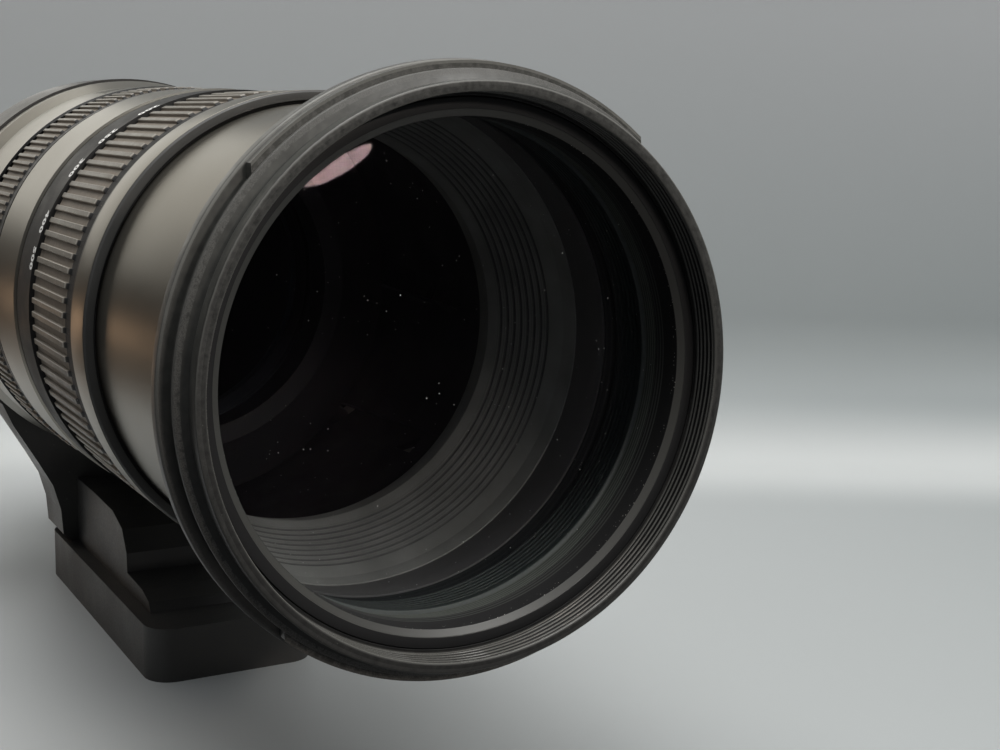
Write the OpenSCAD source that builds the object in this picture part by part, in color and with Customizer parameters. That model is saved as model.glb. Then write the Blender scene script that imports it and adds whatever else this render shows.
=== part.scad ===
// Super telephoto zoom lens, shown closed at its shortest length.
// X runs along the optical axis from the mount flange (X = 0) to the front rim, Z is up.
// Angles about the axis start at +Y and turn towards +Z.

/* [Overall] */
// Outer radius of the moving barrel
barrel_r = 41; // [38:0.5:44]
// Travel of the front barrel from closed to longest
zoom_travel = 77; // [66:1:88]
// Turn of the zoom ring over that travel, in degrees
zoom_turn = 76; // [66:1:86]
// Radial or axial play between pieces that move past each other
run_gap = 0.3; // [0.25:0.05:0.35]

/* [Front rim] */
// How much wider the filter thread's crest is than the moving barrel, on the radius
thread_step = 1.5; // [1:0.1:2]
// Depth of the filter thread
thread_depth = 5; // [4:0.5:6]
// Width of the front lip outside the thread
lip_w = 1.7; // [1.5:0.1:2]
// Height of the hood bayonet's flange outside the thread
flange_w = 4.85; // [4.2:0.05:5.5]
// Height of the scuffed ridge outside the thread
ridge_w = 3.4; // [3:0.1:3.8]
// Length of the whole front rim
rim_l = 16; // [14:0.5:18]
// Distance from the front to the flange's front face
flange_back = 7.4; // [6.6:0.1:8.4]
// Thickness of the flange
flange_t = 2.3; // [1.9:0.1:2.7]
// Angle that each hood bayonet tab spans, in degrees
tab_span = 88; // [75:1:100]

/* [Moving barrel] */
// Length of the moving barrel that shows when the lens is closed
bare_l = 46.4; // [40:0.2:52]
// Wall of the moving barrel
barrel_wall = 1.3; // [1.1:0.1:1.5]
// Radius of the cam rollers
roller_r = 1.9; // [1.6:0.1:2.2]

/* [Zoom ring] */
// Length of the nose ring
nose_l = 11.2; // [9.5:0.1:13]
// Height of the nose ring over its bore
nose_h = 2.1; // [1.8:0.1:2.4]
// Length of the ribbed zoom grip
grip_l = 28.9; // [25:0.1:33]
// Thickness of the rubber grips over their ribs
grip_t = 1.1; // [1:0.05:1.3]
// Height of one rib
rib_h = 0.7; // [0.55:0.05:0.8]
// Number of ribs on the zoom grip
rib_count = 110; // [95:1:125]
// Length of the smooth land behind the zoom grip
land_l = 10.9; // [9:0.1:13]
// Height of that land over the skirt
land_h = 1.75; // [1.5:0.05:2]
// Wall of the ring's long rear skirt
skirt_wall = 0.75; // [0.65:0.05:0.85]

/* [Fixed barrels] */
// Wall of the inner sleeve that carries the focus ring
sleeve_wall = 0.6; // [0.5:0.05:0.7]
// Height of the satin barrel between the two grips over that sleeve
satin_h = 1.35; // [1.2:0.05:1.5]
// Wall of the rear satin barrel with the window
window_wall = 1; // [0.9:0.05:1.2]
// Length of that barrel in front of the tripod collar
window_barrel_l = 29.7; // [26:0.1:34]
// Height of the raised ring in front of the tripod collar
raised_h = 1.6; // [1.3:0.1:1.9]
// Height of the collar's seat over the sleeve
seat_h = 1.35; // [1.2:0.05:1.5]
// Wall of the rear barrel
rear_wall = 1.6; // [1.4:0.1:1.8]

/* [Focus ring] */
// Length of the ribbed focus grip
focus_grip_l = 17.8; // [15:0.1:21]
// Length of the focus ring's smooth stop in front of the grip
focus_stop_l = 2.5; // [2:0.1:3]
// Number of ribs on the focus grip
focus_ribs = 120; // [105:1:135]
// Turn of the focus ring from far to near, in degrees
focus_turn = 110; // [95:1:112]
// Travel of the focus cell over that turn
focus_travel = 9; // [8:0.5:10]

/* [Inner barrels] */
// Wall of the cam barrel
cam_wall = 1.2; // [1:0.1:1.4]
// Wall of the guide barrel
guide_wall = 1.2; // [1:0.1:1.4]
// Travel of the front inner lens cell
variator_travel = 34; // [29:1:39]
// Travel of the rear inner lens cell
compensator_travel = 20; // [17:1:23]

/* [Glass] */
// Thickness of the front glass at its edge
glass_edge_t = 8; // [7:0.5:9]
// Radius of the curve on the front of the front glass
glass_curve_r = 170; // [145:5:200]

/* [Tripod collar] */
// Wall of the collar band
collar_wall = 2.7; // [2.3:0.1:3.1]
// Front face of the collar band, measured from the mount flange
collar_x = 67; // [62:0.5:74]
// Width of the collar band along the axis
collar_w = 18; // [15.5:0.5:20]
// Distance from the collar band to the bottom of the foot
neck_h = 35.3; // [30:0.1:41]
// Half width of the foot's neck
neck_half = 19.3; // [17:0.1:21]
// Length of the foot
foot_l = 93.5; // [82:0.5:106]
// Width of the foot
foot_w = 38; // [34:0.5:44]
// Thickness of the foot's base plate
foot_t = 12; // [10.5:0.5:14]
// Radius of the tripod thread's crest
socket_r = 2.6; // [2.3:0.05:2.9]
// Depth of the tripod thread
socket_l = 8; // [7:0.5:9]
// Radius of the collar's knob
knob_r = 9; // [8:0.5:10.5]

/* [Mount] */
// Radius of the mount flange
mount_r = 32.5; // [30:0.5:35]
// Radius of the locating spigot behind the flange
spigot_r = 27; // [25:0.5:28]
// Length of that spigot
spigot_l = 2; // [1.7:0.1:2.3]
// Number of contact pins
contact_count = 8; // [5:1:10]

/* [Hidden] */
$fn = 96;
// Overlap that joins the solids of one piece, and overrun of a cut
eps = 0.05;
over = 1;
// Play of a pin in its hole and of a ring on its seat
pin_play = 0.07;
// Small bevel on machined edges
bevel = 0.3;
// Places of three equal pieces round the axis, in degrees
three = [0, 120, 240];

// Radii from the moving barrel inwards
barrel_ri = barrel_r - barrel_wall;
// Room for the rollers' shoulders between the moving barrel and the cam barrel
roller_room = 1.3;
cam_ro = barrel_ri - roller_room;
cam_ri = cam_ro - cam_wall;
guide_ro = cam_ri - run_gap;
guide_ri = guide_ro - guide_wall;
cell_ro = guide_ri - run_gap;
// Radii from the moving barrel outwards
skirt_ri = barrel_r + run_gap;
skirt_ro = skirt_ri + skirt_wall;
sleeve_ri = skirt_ro + run_gap;
sleeve_ro = sleeve_ri + sleeve_wall;
focus_ri = sleeve_ro + run_gap;
focus_wall = 0.45;
focus_ro = focus_ri + focus_wall;
scale_t = 0.1;
window_ri = focus_ro + scale_t + run_gap;

// Angles of the rollers, with the lens closed
front_phi = 0;
variator_phi = -40;
compensator_phi = 44;
focus_phi = 20;
// A slot runs past its roller's last place by this much
slot_end = roller_r + run_gap + 2 * eps;

// Stations from the tripod collar forwards: main flange and focus cam with its collar and keys
collar_back = collar_x - collar_w;
main_flange_in = 18.5;
main_flange_back = collar_x - main_flange_in;
main_flange_t = 2;
guide_back = main_flange_back + main_flange_t;
guide_foot_t = 2;
focus_cam_in = 2.5;
focus_cam_back = guide_back + focus_cam_in;
focus_cell_in = 13.5;
focus_cell_x = guide_back + focus_cell_in;
key_ahead = 11.2;
key_back = collar_x + key_ahead;
key_w = 5;
key_l = 2;
key_floor = 0.4;
focus_cam_x = key_back + key_l;
focus_collar_l = 4.7;
focus_collar_x = focus_cam_x - focus_collar_l;
cam_flange_h = 2.5;
cam_flange_r = cam_ro + cam_flange_h;
// Rear end of the zoom ring's skirt and of the cam barrel
skirt_gap = 1.8;
skirt_back = focus_cam_x + skirt_gap;
// Rear end of the moving barrel and its rollers
barrel_gap = 6;
barrel_back = skirt_back + barrel_gap;
front_roller_in = 4;
front_roller_x = barrel_back + front_roller_in;
// Iris and the cells in front of it
iris_ahead = 2;
iris_back = skirt_back + iris_ahead;
iris_plate_t = 1.5;
iris_first = iris_back + iris_plate_t + run_gap;
blade_count = 7;
blade_t = 0.2;
blade_pitch = 0.36;
iris_ring_t = 1.5;
iris_ring_gap = 0.48;
iris_ring_x = iris_first + blade_count * blade_pitch + iris_ring_t + iris_ring_gap;
iris_cup_lip = 1.7;
iris_cup_x = iris_ring_x + iris_cup_lip;
compensator_ahead = 8;
compensator_x = iris_cup_x + compensator_ahead;
// Front ends of the guide and cam barrels, past the rollers' last place
guide_spare = 16;
guide_x = front_roller_x + zoom_travel + guide_spare;
guide_lead = 1;
cam_x = guide_x - guide_lead;
variator_in = 5;
variator_x = cam_x - variator_travel - variator_in;
// Outside from the nose ring back to the focus ring
nose_lead = 4.6;
nose_x = guide_x + nose_lead;
grip_x = nose_x - nose_l;
grip_back = grip_x - grip_l;
land_back = grip_back - land_l;
window_x = collar_x + window_barrel_l;
focus_x = window_x + focus_grip_l;
satin_back = focus_x + focus_stop_l;
// Outer radii
nose_r = skirt_ri + nose_h;
land_r = skirt_ro + land_h;
grip_seat_step = 0.25;
grip_seat_r = skirt_ro + grip_seat_step;
satin_r = sleeve_ro + satin_h;
seat_r = sleeve_ro + seat_h;
window_r = window_ri + window_wall;
raised_r = window_r + raised_h;

// Front rim: how far the moving barrel reaches in, and the step down to the retaining ring
rim_overlap = 4;
rim_back = nose_x + bare_l;
lens_l = rim_back + rim_l;
barrel_x = rim_back + rim_overlap;
thread_r = barrel_r + thread_step;
retainer_step = 0.5;
retainer_r = thread_r - retainer_step;

// Front glass in its cell, and the width that the retaining ring covers
front_cell_wall = 0.3;
glass_r = barrel_ri - front_cell_wall;
glass_lap = 0.6;
glass_lap_r = glass_r - glass_lap;
glass_back = barrel_x - glass_edge_t;
// The front curve meets the retaining ring's inner edge
glass_vertex = barrel_x + glass_curve_r - sqrt(pow(glass_curve_r, 2) - pow(glass_lap_r, 2));

// Second glass of the front group, and the cell's rear end
second_step = 0.3;
second_r = glass_r - second_step;
second_t = 9;
second_gap = 8;
second_back = glass_back - second_gap - second_t;
second_curve_r = 200;
cell_tail = 10;
cell_back = second_back - cell_tail;

// Mount and rear barrel
mount_t = 3;
rear_floor_t = 1.6;
rear_x = mount_t + rear_floor_t;
lug_step = 0.8;
lug_h = 1.4;
neck_r = spigot_r - lug_step - lug_h;
throat_wall = 2.3;
throat_r = neck_r - throat_wall;

// Iris: cup in the guide barrel, ring of pivots, and the opening when fully open
iris_cup_wall = 2.2;
iris_cup_ri = guide_ri - iris_cup_wall;
pivot_inset = 5.5;
pivot_ring_r = iris_cup_ri - pivot_inset;
iris_inset = 7.7;
iris_r = pivot_ring_r - iris_inset;
blade_turn = 30;
iris_lip = 0.7;
pivot_r = 0.8;
drive_r = 0.6;
drive_phi = 8;
ring_ratio = 1;

// Ring of solid wall between two radii and two stations on the axis
module ring(x0, x1, ri, ro)
    rotate([0, 90, 0]) rotate_extrude()
        translate([ri, x0]) square([ro - ri, x1 - x0]);

// Solid of revolution about the axis from an outline of [radius, station] points
module spin(points)
    rotate([0, 90, 0]) rotate_extrude() polygon(points);

// Part of a ring between two angles, from a to a + span
module sector(x0, x1, ri, ro, a, span)
    rotate([a, 0, 0]) rotate([0, 90, 0]) rotate([0, 0, 90]) rotate_extrude(angle = span)
        translate([ri, x0]) square([ro - ri, x1 - x0]);

// Round pin standing out radially at angle phi
module radial_pin(x, phi, r0, r1, rad)
    rotate([phi, 0, 0]) translate([x, r0, 0]) rotate([-90, 0, 0]) cylinder(h = r1 - r0, r = rad);

// Block standing out radially at angle phi
module radial_block(x0, x1, phi, r0, r1, w)
    rotate([phi, 0, 0]) translate([x0, r0, -w / 2]) cube([x1 - x0, r1 - r0, w]);

// Shape drawn in the Y-Z plane and pushed along X
module along(x0, x1)
    translate([x0, 0, 0]) rotate([90, 0, 90]) linear_extrude(height = x1 - x0) children();

// Straight guide slots for three rollers that start at x and travel by l
module guide_slots(x, l, phi)
    for (a = three)
        radial_block(x - slot_end, x + l + slot_end, a + phi, guide_ri - over, guide_ro + over,
            2 * (roller_r + run_gap));

// Helical slots for the same rollers: the slot climbs by l while it turns by turn
module cam_slots(x, l, turn, phi) {
    mid_r = (cam_ri + cam_ro) / 2;
    slope = atan2(l, mid_r * turn * PI / 180);
    half = (roller_r + run_gap) / sin(slope) / mid_r * 180 / PI;
    more = slot_end * turn / l;
    for (a = three)
        translate([x - slot_end, 0, 0]) rotate([a + phi - more, 0, 0]) rotate([90, 0, 90])
            linear_extrude(height = l + 2 * slot_end, twist = -turn - 2 * more, slices = 28,
                    segments = 6)
                polygon([
                    for (s = [-1, 0, 1]) (cam_ri - 2 * over) * [cos(s * half), sin(s * half)],
                    for (s = [1, 0, -1]) (cam_ro + 2 * over) * [cos(s * half), sin(s * half)]]);
}

// Outline of a ribbed grip: rib tops at r, floors rib lower, each rib about half the pitch wide
rib_shares = [-0.27, -0.21, 0.21, 0.27];
function grip_outline(r, rib, count) =
    [for (i = [0:count - 1], s = rib_shares)
        (abs(s) > 0.25 ? r - rib : r) * [cos((i + s) * 360 / count), sin((i + s) * 360 / count)]];
function plain_outline(r, count) =
    [for (i = [0:count - 1], s = [rib_shares[0], rib_shares[3]])
        r * [cos((i + s) * 360 / count), sin((i + s) * 360 / count)]];

// Ribbed rubber sleeve with a plain edge at each end
module grip(x0, x1, r, rib, count, ri) {
    edge = 1;
    for (x = [x0, x1 - edge])
        along(x, x + edge) difference() {
            polygon(plain_outline(r - rib, count));
            circle(r = ri, $fn = 360);
        }
    along(x0 + edge, x1 - edge) difference() {
        polygon(grip_outline(r, rib, count));
        circle(r = ri, $fn = 360);
    }
}

// Lens in a pocket of radius r from station x, t thick in the middle, its front face an arc of
// radius curve
arc_steps = 10;
module glass(x, t, r, curve)
    spin([[0, x], [r - pin_play, x],
        for (i = [arc_steps:-1:0]) let (y = (r - pin_play) * i / arc_steps)
            [y, x + t - curve + sqrt(curve * curve - y * y)]]);

// Cell of an inner group: a tube with a seat and an outer rim that rides in the guide barrel,
// and three rollers that reach through it into the cams
inner_half = 6;
inner_rim = 3;
inner_seat = 2;
inner_glass_back = 3;
inner_glass_t = 8;
module inner_cell(x, ro, phi) {
    ri = ro - inner_seat;
    spin([[ri, x - inner_half], [ro + inner_rim, x - inner_half], [cell_ro, x - inner_rim],
        [cell_ro, x + inner_rim], [ro + inner_rim, x + inner_half], [ro, x + inner_half],
        [ro, x - inner_glass_back], [ri, x - inner_glass_back]]);
    for (a = three)
        radial_pin(x, a + phi, cell_ro - over, cam_ro - pin_play, roller_r);
}
module inner_glass(x, r, curve)
    glass(x - inner_glass_back, inner_glass_t, r, curve);

// Mount: flange, locating spigot and three bayonet lugs
lug_back = 5.4;
lug_t = 1.6;
lug_span = 58;
mount_tail = 6.5;
module mount_bayonet() color("silver")
    difference() {
        union() {
            ring(0, mount_t, throat_r, mount_r);
            ring(-spigot_l, 0, throat_r, spigot_r);
            ring(-mount_tail, -spigot_l, throat_r, neck_r);
            for (a = three)
                sector(-lug_back, lug_t - lug_back, neck_r - eps, neck_r + lug_h, a, lug_span);
        }
        for (a = mount_screw_angles)
            mount_screw_at(a, pin_play);
    }

// Countersunk screw of the mount, grown by play for its hole
mount_screw_angles = [45, 135, 225, 315];
mount_screw_ring_r = (spigot_r + mount_r) / 2;
mount_screw_r = 1;
mount_screw_l = 7;
mount_head_r = 1.8;
mount_head_t = 1.1;
module mount_screw_at(a, play)
    rotate([a, 0, 0]) translate([-play, mount_screw_ring_r, 0]) rotate([0, 90, 0]) {
        cylinder(h = mount_screw_l + play, r = mount_screw_r + play);
        cylinder(h = mount_head_t + play, r = mount_head_r + play);
    }

module mount_screws() color("dimgray") {
    cross_l = 2;
    cross_w = 0.3;
    cross_t = 0.5;
    for (a = mount_screw_angles)
        difference() {
            mount_screw_at(a, 0);
            for (turn = [0, 90])
                rotate([a, 0, 0]) translate([-eps, mount_screw_ring_r, 0]) rotate([turn, 0, 0])
                    translate([0, -cross_w / 2, -cross_l / 2]) cube([cross_t, cross_w, cross_l]);
        }
}

// Rectangular light baffle inside the mount, with a gap for the contact block below
contact_h = 5.5;
contact_ri = throat_r - contact_h;
contact_span = 40;
contact_back = 6;
contact_front = 3.7;
contact_mid = -90;
baffle_back = 4;
baffle_x = 10;
// Half width, top and bottom of the baffle's opening, as shares of the throat's radius
gate_shares = [0.667, 0.533, 0.489];
module mount_baffle() color("black") {
    gate_half = gate_shares[0] * throat_r;
    gate_top = gate_shares[1] * throat_r;
    gate_bottom = gate_shares[2] * throat_r;
    difference() {
        ring(-baffle_back, baffle_x, 0, throat_r - pin_play);
        translate([-baffle_back - over, -gate_half, -gate_bottom])
            cube([baffle_back + baffle_x + 2 * over, 2 * gate_half, gate_top + gate_bottom]);
        sector(-baffle_back - over, contact_front + run_gap, contact_ri - run_gap,
            throat_r + over, contact_mid - contact_span / 2 - 2, contact_span + 4);
    }
}

module contact_block() color("black")
    sector(-contact_back, contact_front, contact_ri, throat_r - pin_play,
        contact_mid - contact_span / 2, contact_span);

module contact_pins() color("gold") {
    pin_ring_r = (contact_ri + throat_r) / 2;
    pin_proud = 0.6;
    contact_pin_r = 0.75;
    pin_span = 36;
    for (i = [0:contact_count - 1])
        rotate([contact_mid + (i - (contact_count - 1) / 2) * pin_span / contact_count, 0, 0])
            translate([-contact_back - pin_proud, pin_ring_r, 0]) rotate([0, 90, 0])
                cylinder(h = pin_proud, r = contact_pin_r);
}

// Outline of the rear barrel's taper, as [radius, station]
rear_land = 7;
mount_shoulder = 1;
mount_end_r = mount_r + mount_shoulder;
waist_drop = 4.3;
waist_l = 19;
belly_drop = 0.1;
belly_l = 6.5;
rear_end_h = 0.3;
rear_lip_t = 2.2;
rear_lip_x = collar_back - run_gap - rear_lip_t;
rear_taper = [[mount_end_r, mount_t + rear_land], [seat_r - waist_drop, mount_t + waist_l],
    [seat_r - belly_drop, rear_lip_x - belly_l], [seat_r + rear_end_h, rear_lip_x]];
// Inner radius of the rear barrel at station x
function rear_inside(x) = lookup(x, [for (p = rear_taper) [p[1], p[0]]]) - rear_wall;

module rear_barrel() color("#3a3a3a") {
    rear_lip_h = 1.9;
    rear_lip_r = seat_r + rear_lip_h;
    floor_step = 2.5;
    floor_ri = throat_r + floor_step;
    seat_x = collar_x + run_gap;
    lip_front = rear_lip_x + rear_lip_t;
    difference() {
        spin([[floor_ri, mount_t], [mount_end_r, mount_t],
            for (p = rear_taper) p,
            [rear_lip_r, rear_lip_x], [rear_lip_r, lip_front], [seat_r, lip_front],
            [seat_r, seat_x], [sleeve_ro, seat_x], [sleeve_ro, main_flange_back],
            for (i = [len(rear_taper) - 1:-1:0]) rear_taper[i] - [rear_wall, 0],
            [mount_end_r - rear_wall, rear_x], [floor_ri, rear_x]]);
        for (a = mount_screw_angles)
            mount_screw_at(a, pin_play);
    }
}

// Main barrel: sleeve under the focus ring and the satin barrel between the grips
module main_barrel() color("#4a4a48") {
    satin_break = 0.4;
    satin_ramp = 1;
    satin_fall = 0.1;
    satin_ease = 0.8;
    satin_x = land_back - run_gap;
    slot_spare = 5;
    difference() {
        spin([[guide_ri, main_flange_back], [sleeve_ro, main_flange_back],
            [sleeve_ro, satin_back], [satin_r - satin_break, satin_back],
            [satin_r, satin_back + satin_ramp], [satin_r - satin_fall, satin_x - satin_ease],
            [satin_r - satin_break - satin_fall, satin_x], [sleeve_ri, satin_x],
            [sleeve_ri, guide_back], [guide_ri, guide_back]]);
        for (a = [0, 180])
            sector(key_back - run_gap, key_back + key_l + run_gap, sleeve_ri - over,
                sleeve_ro + over, a - focus_turn - slot_spare, focus_turn + 2 * slot_spare);
        lock_pocket();
    }
}

// Zoom lock in its pocket in the satin barrel, on the +Y side
lock_in = 6;
lock_x = satin_back + lock_in;
lock_l = 6;
lock_w = 8;
lock_travel = 4;
lock_depth = 0.9;
lock_proud = 0.9;
module lock_pocket()
    radial_block(lock_x - run_gap, lock_x + lock_l + lock_travel + run_gap, 0,
        satin_r - lock_depth, satin_r + over, lock_w + 2 * run_gap);

module zoom_lock() color("black") slider(lock_x, lock_l, lock_w, 0, satin_r - lock_depth + eps,
    satin_r + lock_proud);

// Slider with three grooves across its top
module slider(x, l, w, phi, r0, r1) {
    groove_w = 0.75;
    groove_t = 0.4;
    difference() {
        radial_block(x, x + l, phi, r0, r1, w);
        for (i = [1:3])
            radial_block(x + i * l / 4 - groove_w / 2, x + i * l / 4 + groove_w / 2, phi,
                r1 - groove_t, r1 + over, w + over);
    }
}

// Rear satin barrel with the raised ring, the distance window and the switch panel
cone_l = 10;
cone_x = collar_x + cone_l;
window_in = 4;
window_back_x = cone_x + window_in;
window_front_w = 4.7;
window_l = window_x - window_front_w - window_back_x;
window_span = 34;
window_glass_t = 0.7;
window_mid = 90;
module window_barrel() color("#4a4a48") {
    raised_l = 4.5;
    raised_x = collar_x + raised_l;
    window_break = 0.5;
    back = collar_x + run_gap;
    difference() {
        spin([[sleeve_ro, back], [raised_r - bevel, back], [raised_r, back + bevel],
            [raised_r, raised_x], [window_r, cone_x], [window_r, window_x - window_break],
            [window_r - window_break, window_x], [window_ri, window_x], [window_ri, cone_x],
            [sleeve_ro, cone_x]]);
        sector(window_back_x, window_back_x + window_l, window_ri - over, window_r + over,
            window_mid - window_span / 2, window_span);
        sector(panel_x, panel_x + panel_l, panel_seat_r, window_r + over, -panel_span / 2,
            panel_span);
    }
}

module distance_window() color([0.75, 0.8, 0.85, 0.4])
    sector(window_back_x, window_back_x + window_l, window_r - window_glass_t, window_r,
        window_mid - window_span / 2, window_span);

// Switch panel on the +Y side of the window barrel, with two sliders
panel_in = 1.5;
panel_x = cone_x + panel_in;
panel_end = 1.2;
panel_l = window_x - panel_end - panel_x;
panel_span = 46;
panel_proud = 1;
panel_r = window_r + panel_proud;
panel_sink = 0.4;
panel_seat_r = window_r - panel_sink;
switch_in = 3.5;
switch_x = panel_x + switch_in;
switch_l = 5;
switch_w = 4.2;
switch_phi = 11;
switch_floor_r = window_r + 2 * eps;
switch_proud = 0.8;
af_travel = 3;
stabiliser_travel = 6;
module switch_slot(phi, travel)
    radial_block(switch_x - run_gap, switch_x + switch_l + travel + run_gap, phi, switch_floor_r,
        panel_r + over, switch_w + 2 * run_gap);

module switch_panel() color("black")
    difference() {
        sector(panel_x, panel_x + panel_l, panel_seat_r, panel_r, -panel_span / 2, panel_span);
        switch_slot(switch_phi, af_travel);
        switch_slot(-switch_phi, stabiliser_travel);
    }

module switch_at(phi)
    slider(switch_x, switch_l, switch_w, phi, switch_floor_r + eps, panel_r + switch_proud);

module af_switch() color("gray") switch_at(switch_phi);

module stabiliser_switch() color("gray") switch_at(-switch_phi);

module guide_barrel() color("#8a8a86")
    difference() {
        union() {
            ring(guide_back, guide_x, guide_ri, guide_ro);
            ring(guide_back, guide_back + guide_foot_t, guide_ri, stator_ri - run_gap);
        }
        guide_slots(front_roller_x, zoom_travel, front_phi);
        guide_slots(variator_x, variator_travel, variator_phi);
        guide_slots(compensator_x, compensator_travel, compensator_phi);
        guide_slots(focus_cell_x, focus_travel, focus_phi);
    }

// Ring-shaped circuit board, open at the top, with its larger chips
module main_board() color("darkgreen") {
    board_play = 1;
    board_inset = 2.7;
    board_ri = hub_r + board_play;
    board_ro = rear_inside(rear_plate_x) - board_inset;
    board_t = 1.2;
    chip_w = 8;
    chip_t = 1.4;
    chip_inset = 2;
    board_gap = 60;
    difference() {
        ring(rear_plate_x, rear_plate_x + board_t, board_ri, board_ro);
        sector(rear_plate_x - over, rear_plate_x + board_t + over, board_ri - over,
            board_ro + over, window_mid - board_gap / 2, board_gap);
    }
    for (a = [-60, 0, 150, 200])
        rotate([a, 0, 0])
            translate([rear_plate_x + board_t - eps, board_ri + chip_inset, -chip_w / 2])
                cube([chip_t, chip_w, chip_w]);
}

// Ring motor: slotted stator on the main flange, rotor on its face
stator_gap = 0.4;
stator_ri = cam_ro + stator_gap;
stator_t = 3.5;
rotor_back = guide_back + stator_t;
rotor_t = 3;
module motor_stator() color("goldenrod") {
    comb_w = 0.5;
    comb_rim = 0.8;
    difference() {
        ring(guide_back, rotor_back, stator_ri, sleeve_ri);
        for (a = [0:6:354])
            radial_block(rotor_back - over, rotor_back + over, a, stator_ri - over,
                sleeve_ri - comb_rim, comb_w);
    }
}

module motor_rotor() color("silver")
    ring(rotor_back, rotor_back + rotor_t, cam_ro, sleeve_ri - run_gap);

module focus_cam() color("#9a9a96")
    difference() {
        union() {
            ring(focus_cam_back, focus_cam_x, cam_ri, cam_ro);
            ring(focus_collar_x, focus_cam_x, cam_ri, cam_flange_r);
        }
        cam_slots(focus_cell_x, focus_travel, focus_turn, focus_phi);
        for (a = [0, 180])
            radial_block(key_back - run_gap, focus_cam_x + over, a, cam_ro + key_floor,
                cam_flange_r + over, key_w + 2 * run_gap);
    }

// Rear cell: tube of the rear glass, plate in the rear barrel and stage of the stabiliser
rear_glass_r = 19;
rear_glass_t = 9;
rear_seat_w = 1;
rear_tube_wall = 1;
rear_cell_gap = 0.5;
rear_cell_x = baffle_x + rear_cell_gap;
rear_seat_t = 1.5;
rear_glass_x = rear_cell_x + rear_seat_t;
rear_glass_pocket = 12;
stage_in = 8;
stage_x = main_flange_back - stage_in;
hub_l = 8.5;
hub_r = 24;
rear_plate_x = stage_x - hub_l;
rear_plate_t = 2.5;
rear_plate_back = rear_plate_x - rear_plate_t;
module rear_cell() color("#2a2a2a") {
    stage_r = 30;
    stage_t = 2;
    bore = rear_glass_r - rear_seat_w;
    difference() {
        union() {
            ring(rear_cell_x, rear_plate_back, bore, rear_glass_r + rear_tube_wall);
            ring(rear_plate_back, rear_plate_x, bore, rear_inside(rear_plate_back) - run_gap);
            ring(rear_plate_x, stage_x, bore, hub_r);
            ring(stage_x - stage_t, stage_x, bore, stage_r);
        }
        ring(rear_glass_x, rear_glass_x + rear_glass_pocket, 0, rear_glass_r);
    }
}

module rear_glass() color([0.6, 0.75, 0.8, 0.5]) {
    rear_curve_r = 60;
    glass(rear_glass_x, rear_glass_t, rear_glass_r, rear_curve_r);
}

// Stabiliser: the carriage shifts along Y on the stage, the cell lifts along Z on the carriage
carriage_t = 3.5;
carriage_ri = 21.9;
stabiliser_room = 1.9;
carriage_w = 5.1;
cell_face_x = stage_x + carriage_t;
stabiliser_glass_r = 18.5;
stabiliser_glass_t = 4.3;
stabiliser_sink = 1.5;
stabiliser_glass_x = cell_face_x - stabiliser_sink;
module stabiliser_carriage() color("#555555") {
    rod_r = 0.8;
    rod_z = 24.5;
    rod_back = 1.5;
    difference() {
        ring(stage_x, cell_face_x, carriage_ri, carriage_ri + carriage_w);
        for (s = [-1, 1])
            translate([stage_x + rod_back, 0, s * rod_z]) rotate([90, 0, 0])
                cylinder(h = 3 * carriage_ri, r = rod_r, center = true);
    }
}

module stabiliser_cell() color("#2a2a2a") {
    tube_r = carriage_ri - stabiliser_room;
    bore_r = 16;
    face_r = 25;
    face_t = 2.5;
    seat_t = 1;
    difference() {
        union() {
            ring(stabiliser_glass_x - seat_t, cell_face_x, bore_r, tube_r);
            ring(cell_face_x, cell_face_x + face_t, bore_r, face_r);
        }
        ring(stabiliser_glass_x, cell_face_x + face_t + over, 0, stabiliser_glass_r);
    }
}

module stabiliser_glass() color([0.6, 0.75, 0.8, 0.5]) {
    stabiliser_curve_r = 90;
    glass(stabiliser_glass_x, stabiliser_glass_t, stabiliser_glass_r, stabiliser_curve_r);
}

// Zoom ring: long skirt, land behind the grip, and keys that turn the cam barrel
module zoom_ring() color("#2c2c2c") {
    spin([[skirt_ri, skirt_back], [skirt_ro, skirt_back], [skirt_ro, land_back],
        [land_r - bevel, land_back], [land_r, land_back + bevel], [land_r, grip_back],
        [grip_seat_r, grip_back], [grip_seat_r, grip_x], [skirt_ri, grip_x]]);
    for (a = three)
        radial_block(skirt_back, skirt_back + key_l, a + 30, cam_flange_r, skirt_ri + eps, key_w);
}

module zoom_grip() color("#242424")
    grip(grip_back, grip_x, grip_seat_r + grip_t, rib_h, rib_count, grip_seat_r + pin_play);

// Nose ring with the felt seal in its groove
seal_lip = 1;
seal_back = 3.4;
seal_h = 1;
module nose_ring() color("#55534e") {
    nose_step = 0.5;
    band_l = 4.5;
    nose_ramp = 2.4;
    mouth_play = 0.6;
    spin([[skirt_ri, grip_x], [nose_r - nose_step, grip_x], [nose_r - nose_step, grip_x + band_l],
        [nose_r, grip_x + band_l + nose_step], [nose_r, nose_x - nose_ramp],
        [nose_r - nose_step, nose_x], [barrel_r + mouth_play, nose_x],
        [barrel_r + mouth_play, nose_x - seal_lip], [barrel_r + seal_h, nose_x - seal_lip],
        [barrel_r + seal_h, nose_x - seal_back], [skirt_ri, nose_x - seal_back]]);
}

module dust_seal() color("black")
    ring(nose_x - seal_back, nose_x - seal_lip, barrel_r + pin_play, barrel_r + seal_h);

module cam_barrel() color("#9a9a96")
    difference() {
        union() {
            ring(skirt_back, cam_x, cam_ri, cam_ro);
            ring(skirt_back, skirt_back + key_l, cam_ri, cam_flange_r);
        }
        cam_slots(front_roller_x, zoom_travel, zoom_turn, front_phi);
        cam_slots(variator_x, variator_travel, zoom_turn, variator_phi);
        cam_slots(compensator_x, compensator_travel, zoom_turn, compensator_phi);
    }

module inner_barrel() color("#5a5852")
    ring(barrel_back, barrel_x, barrel_ri, barrel_r);

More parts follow.
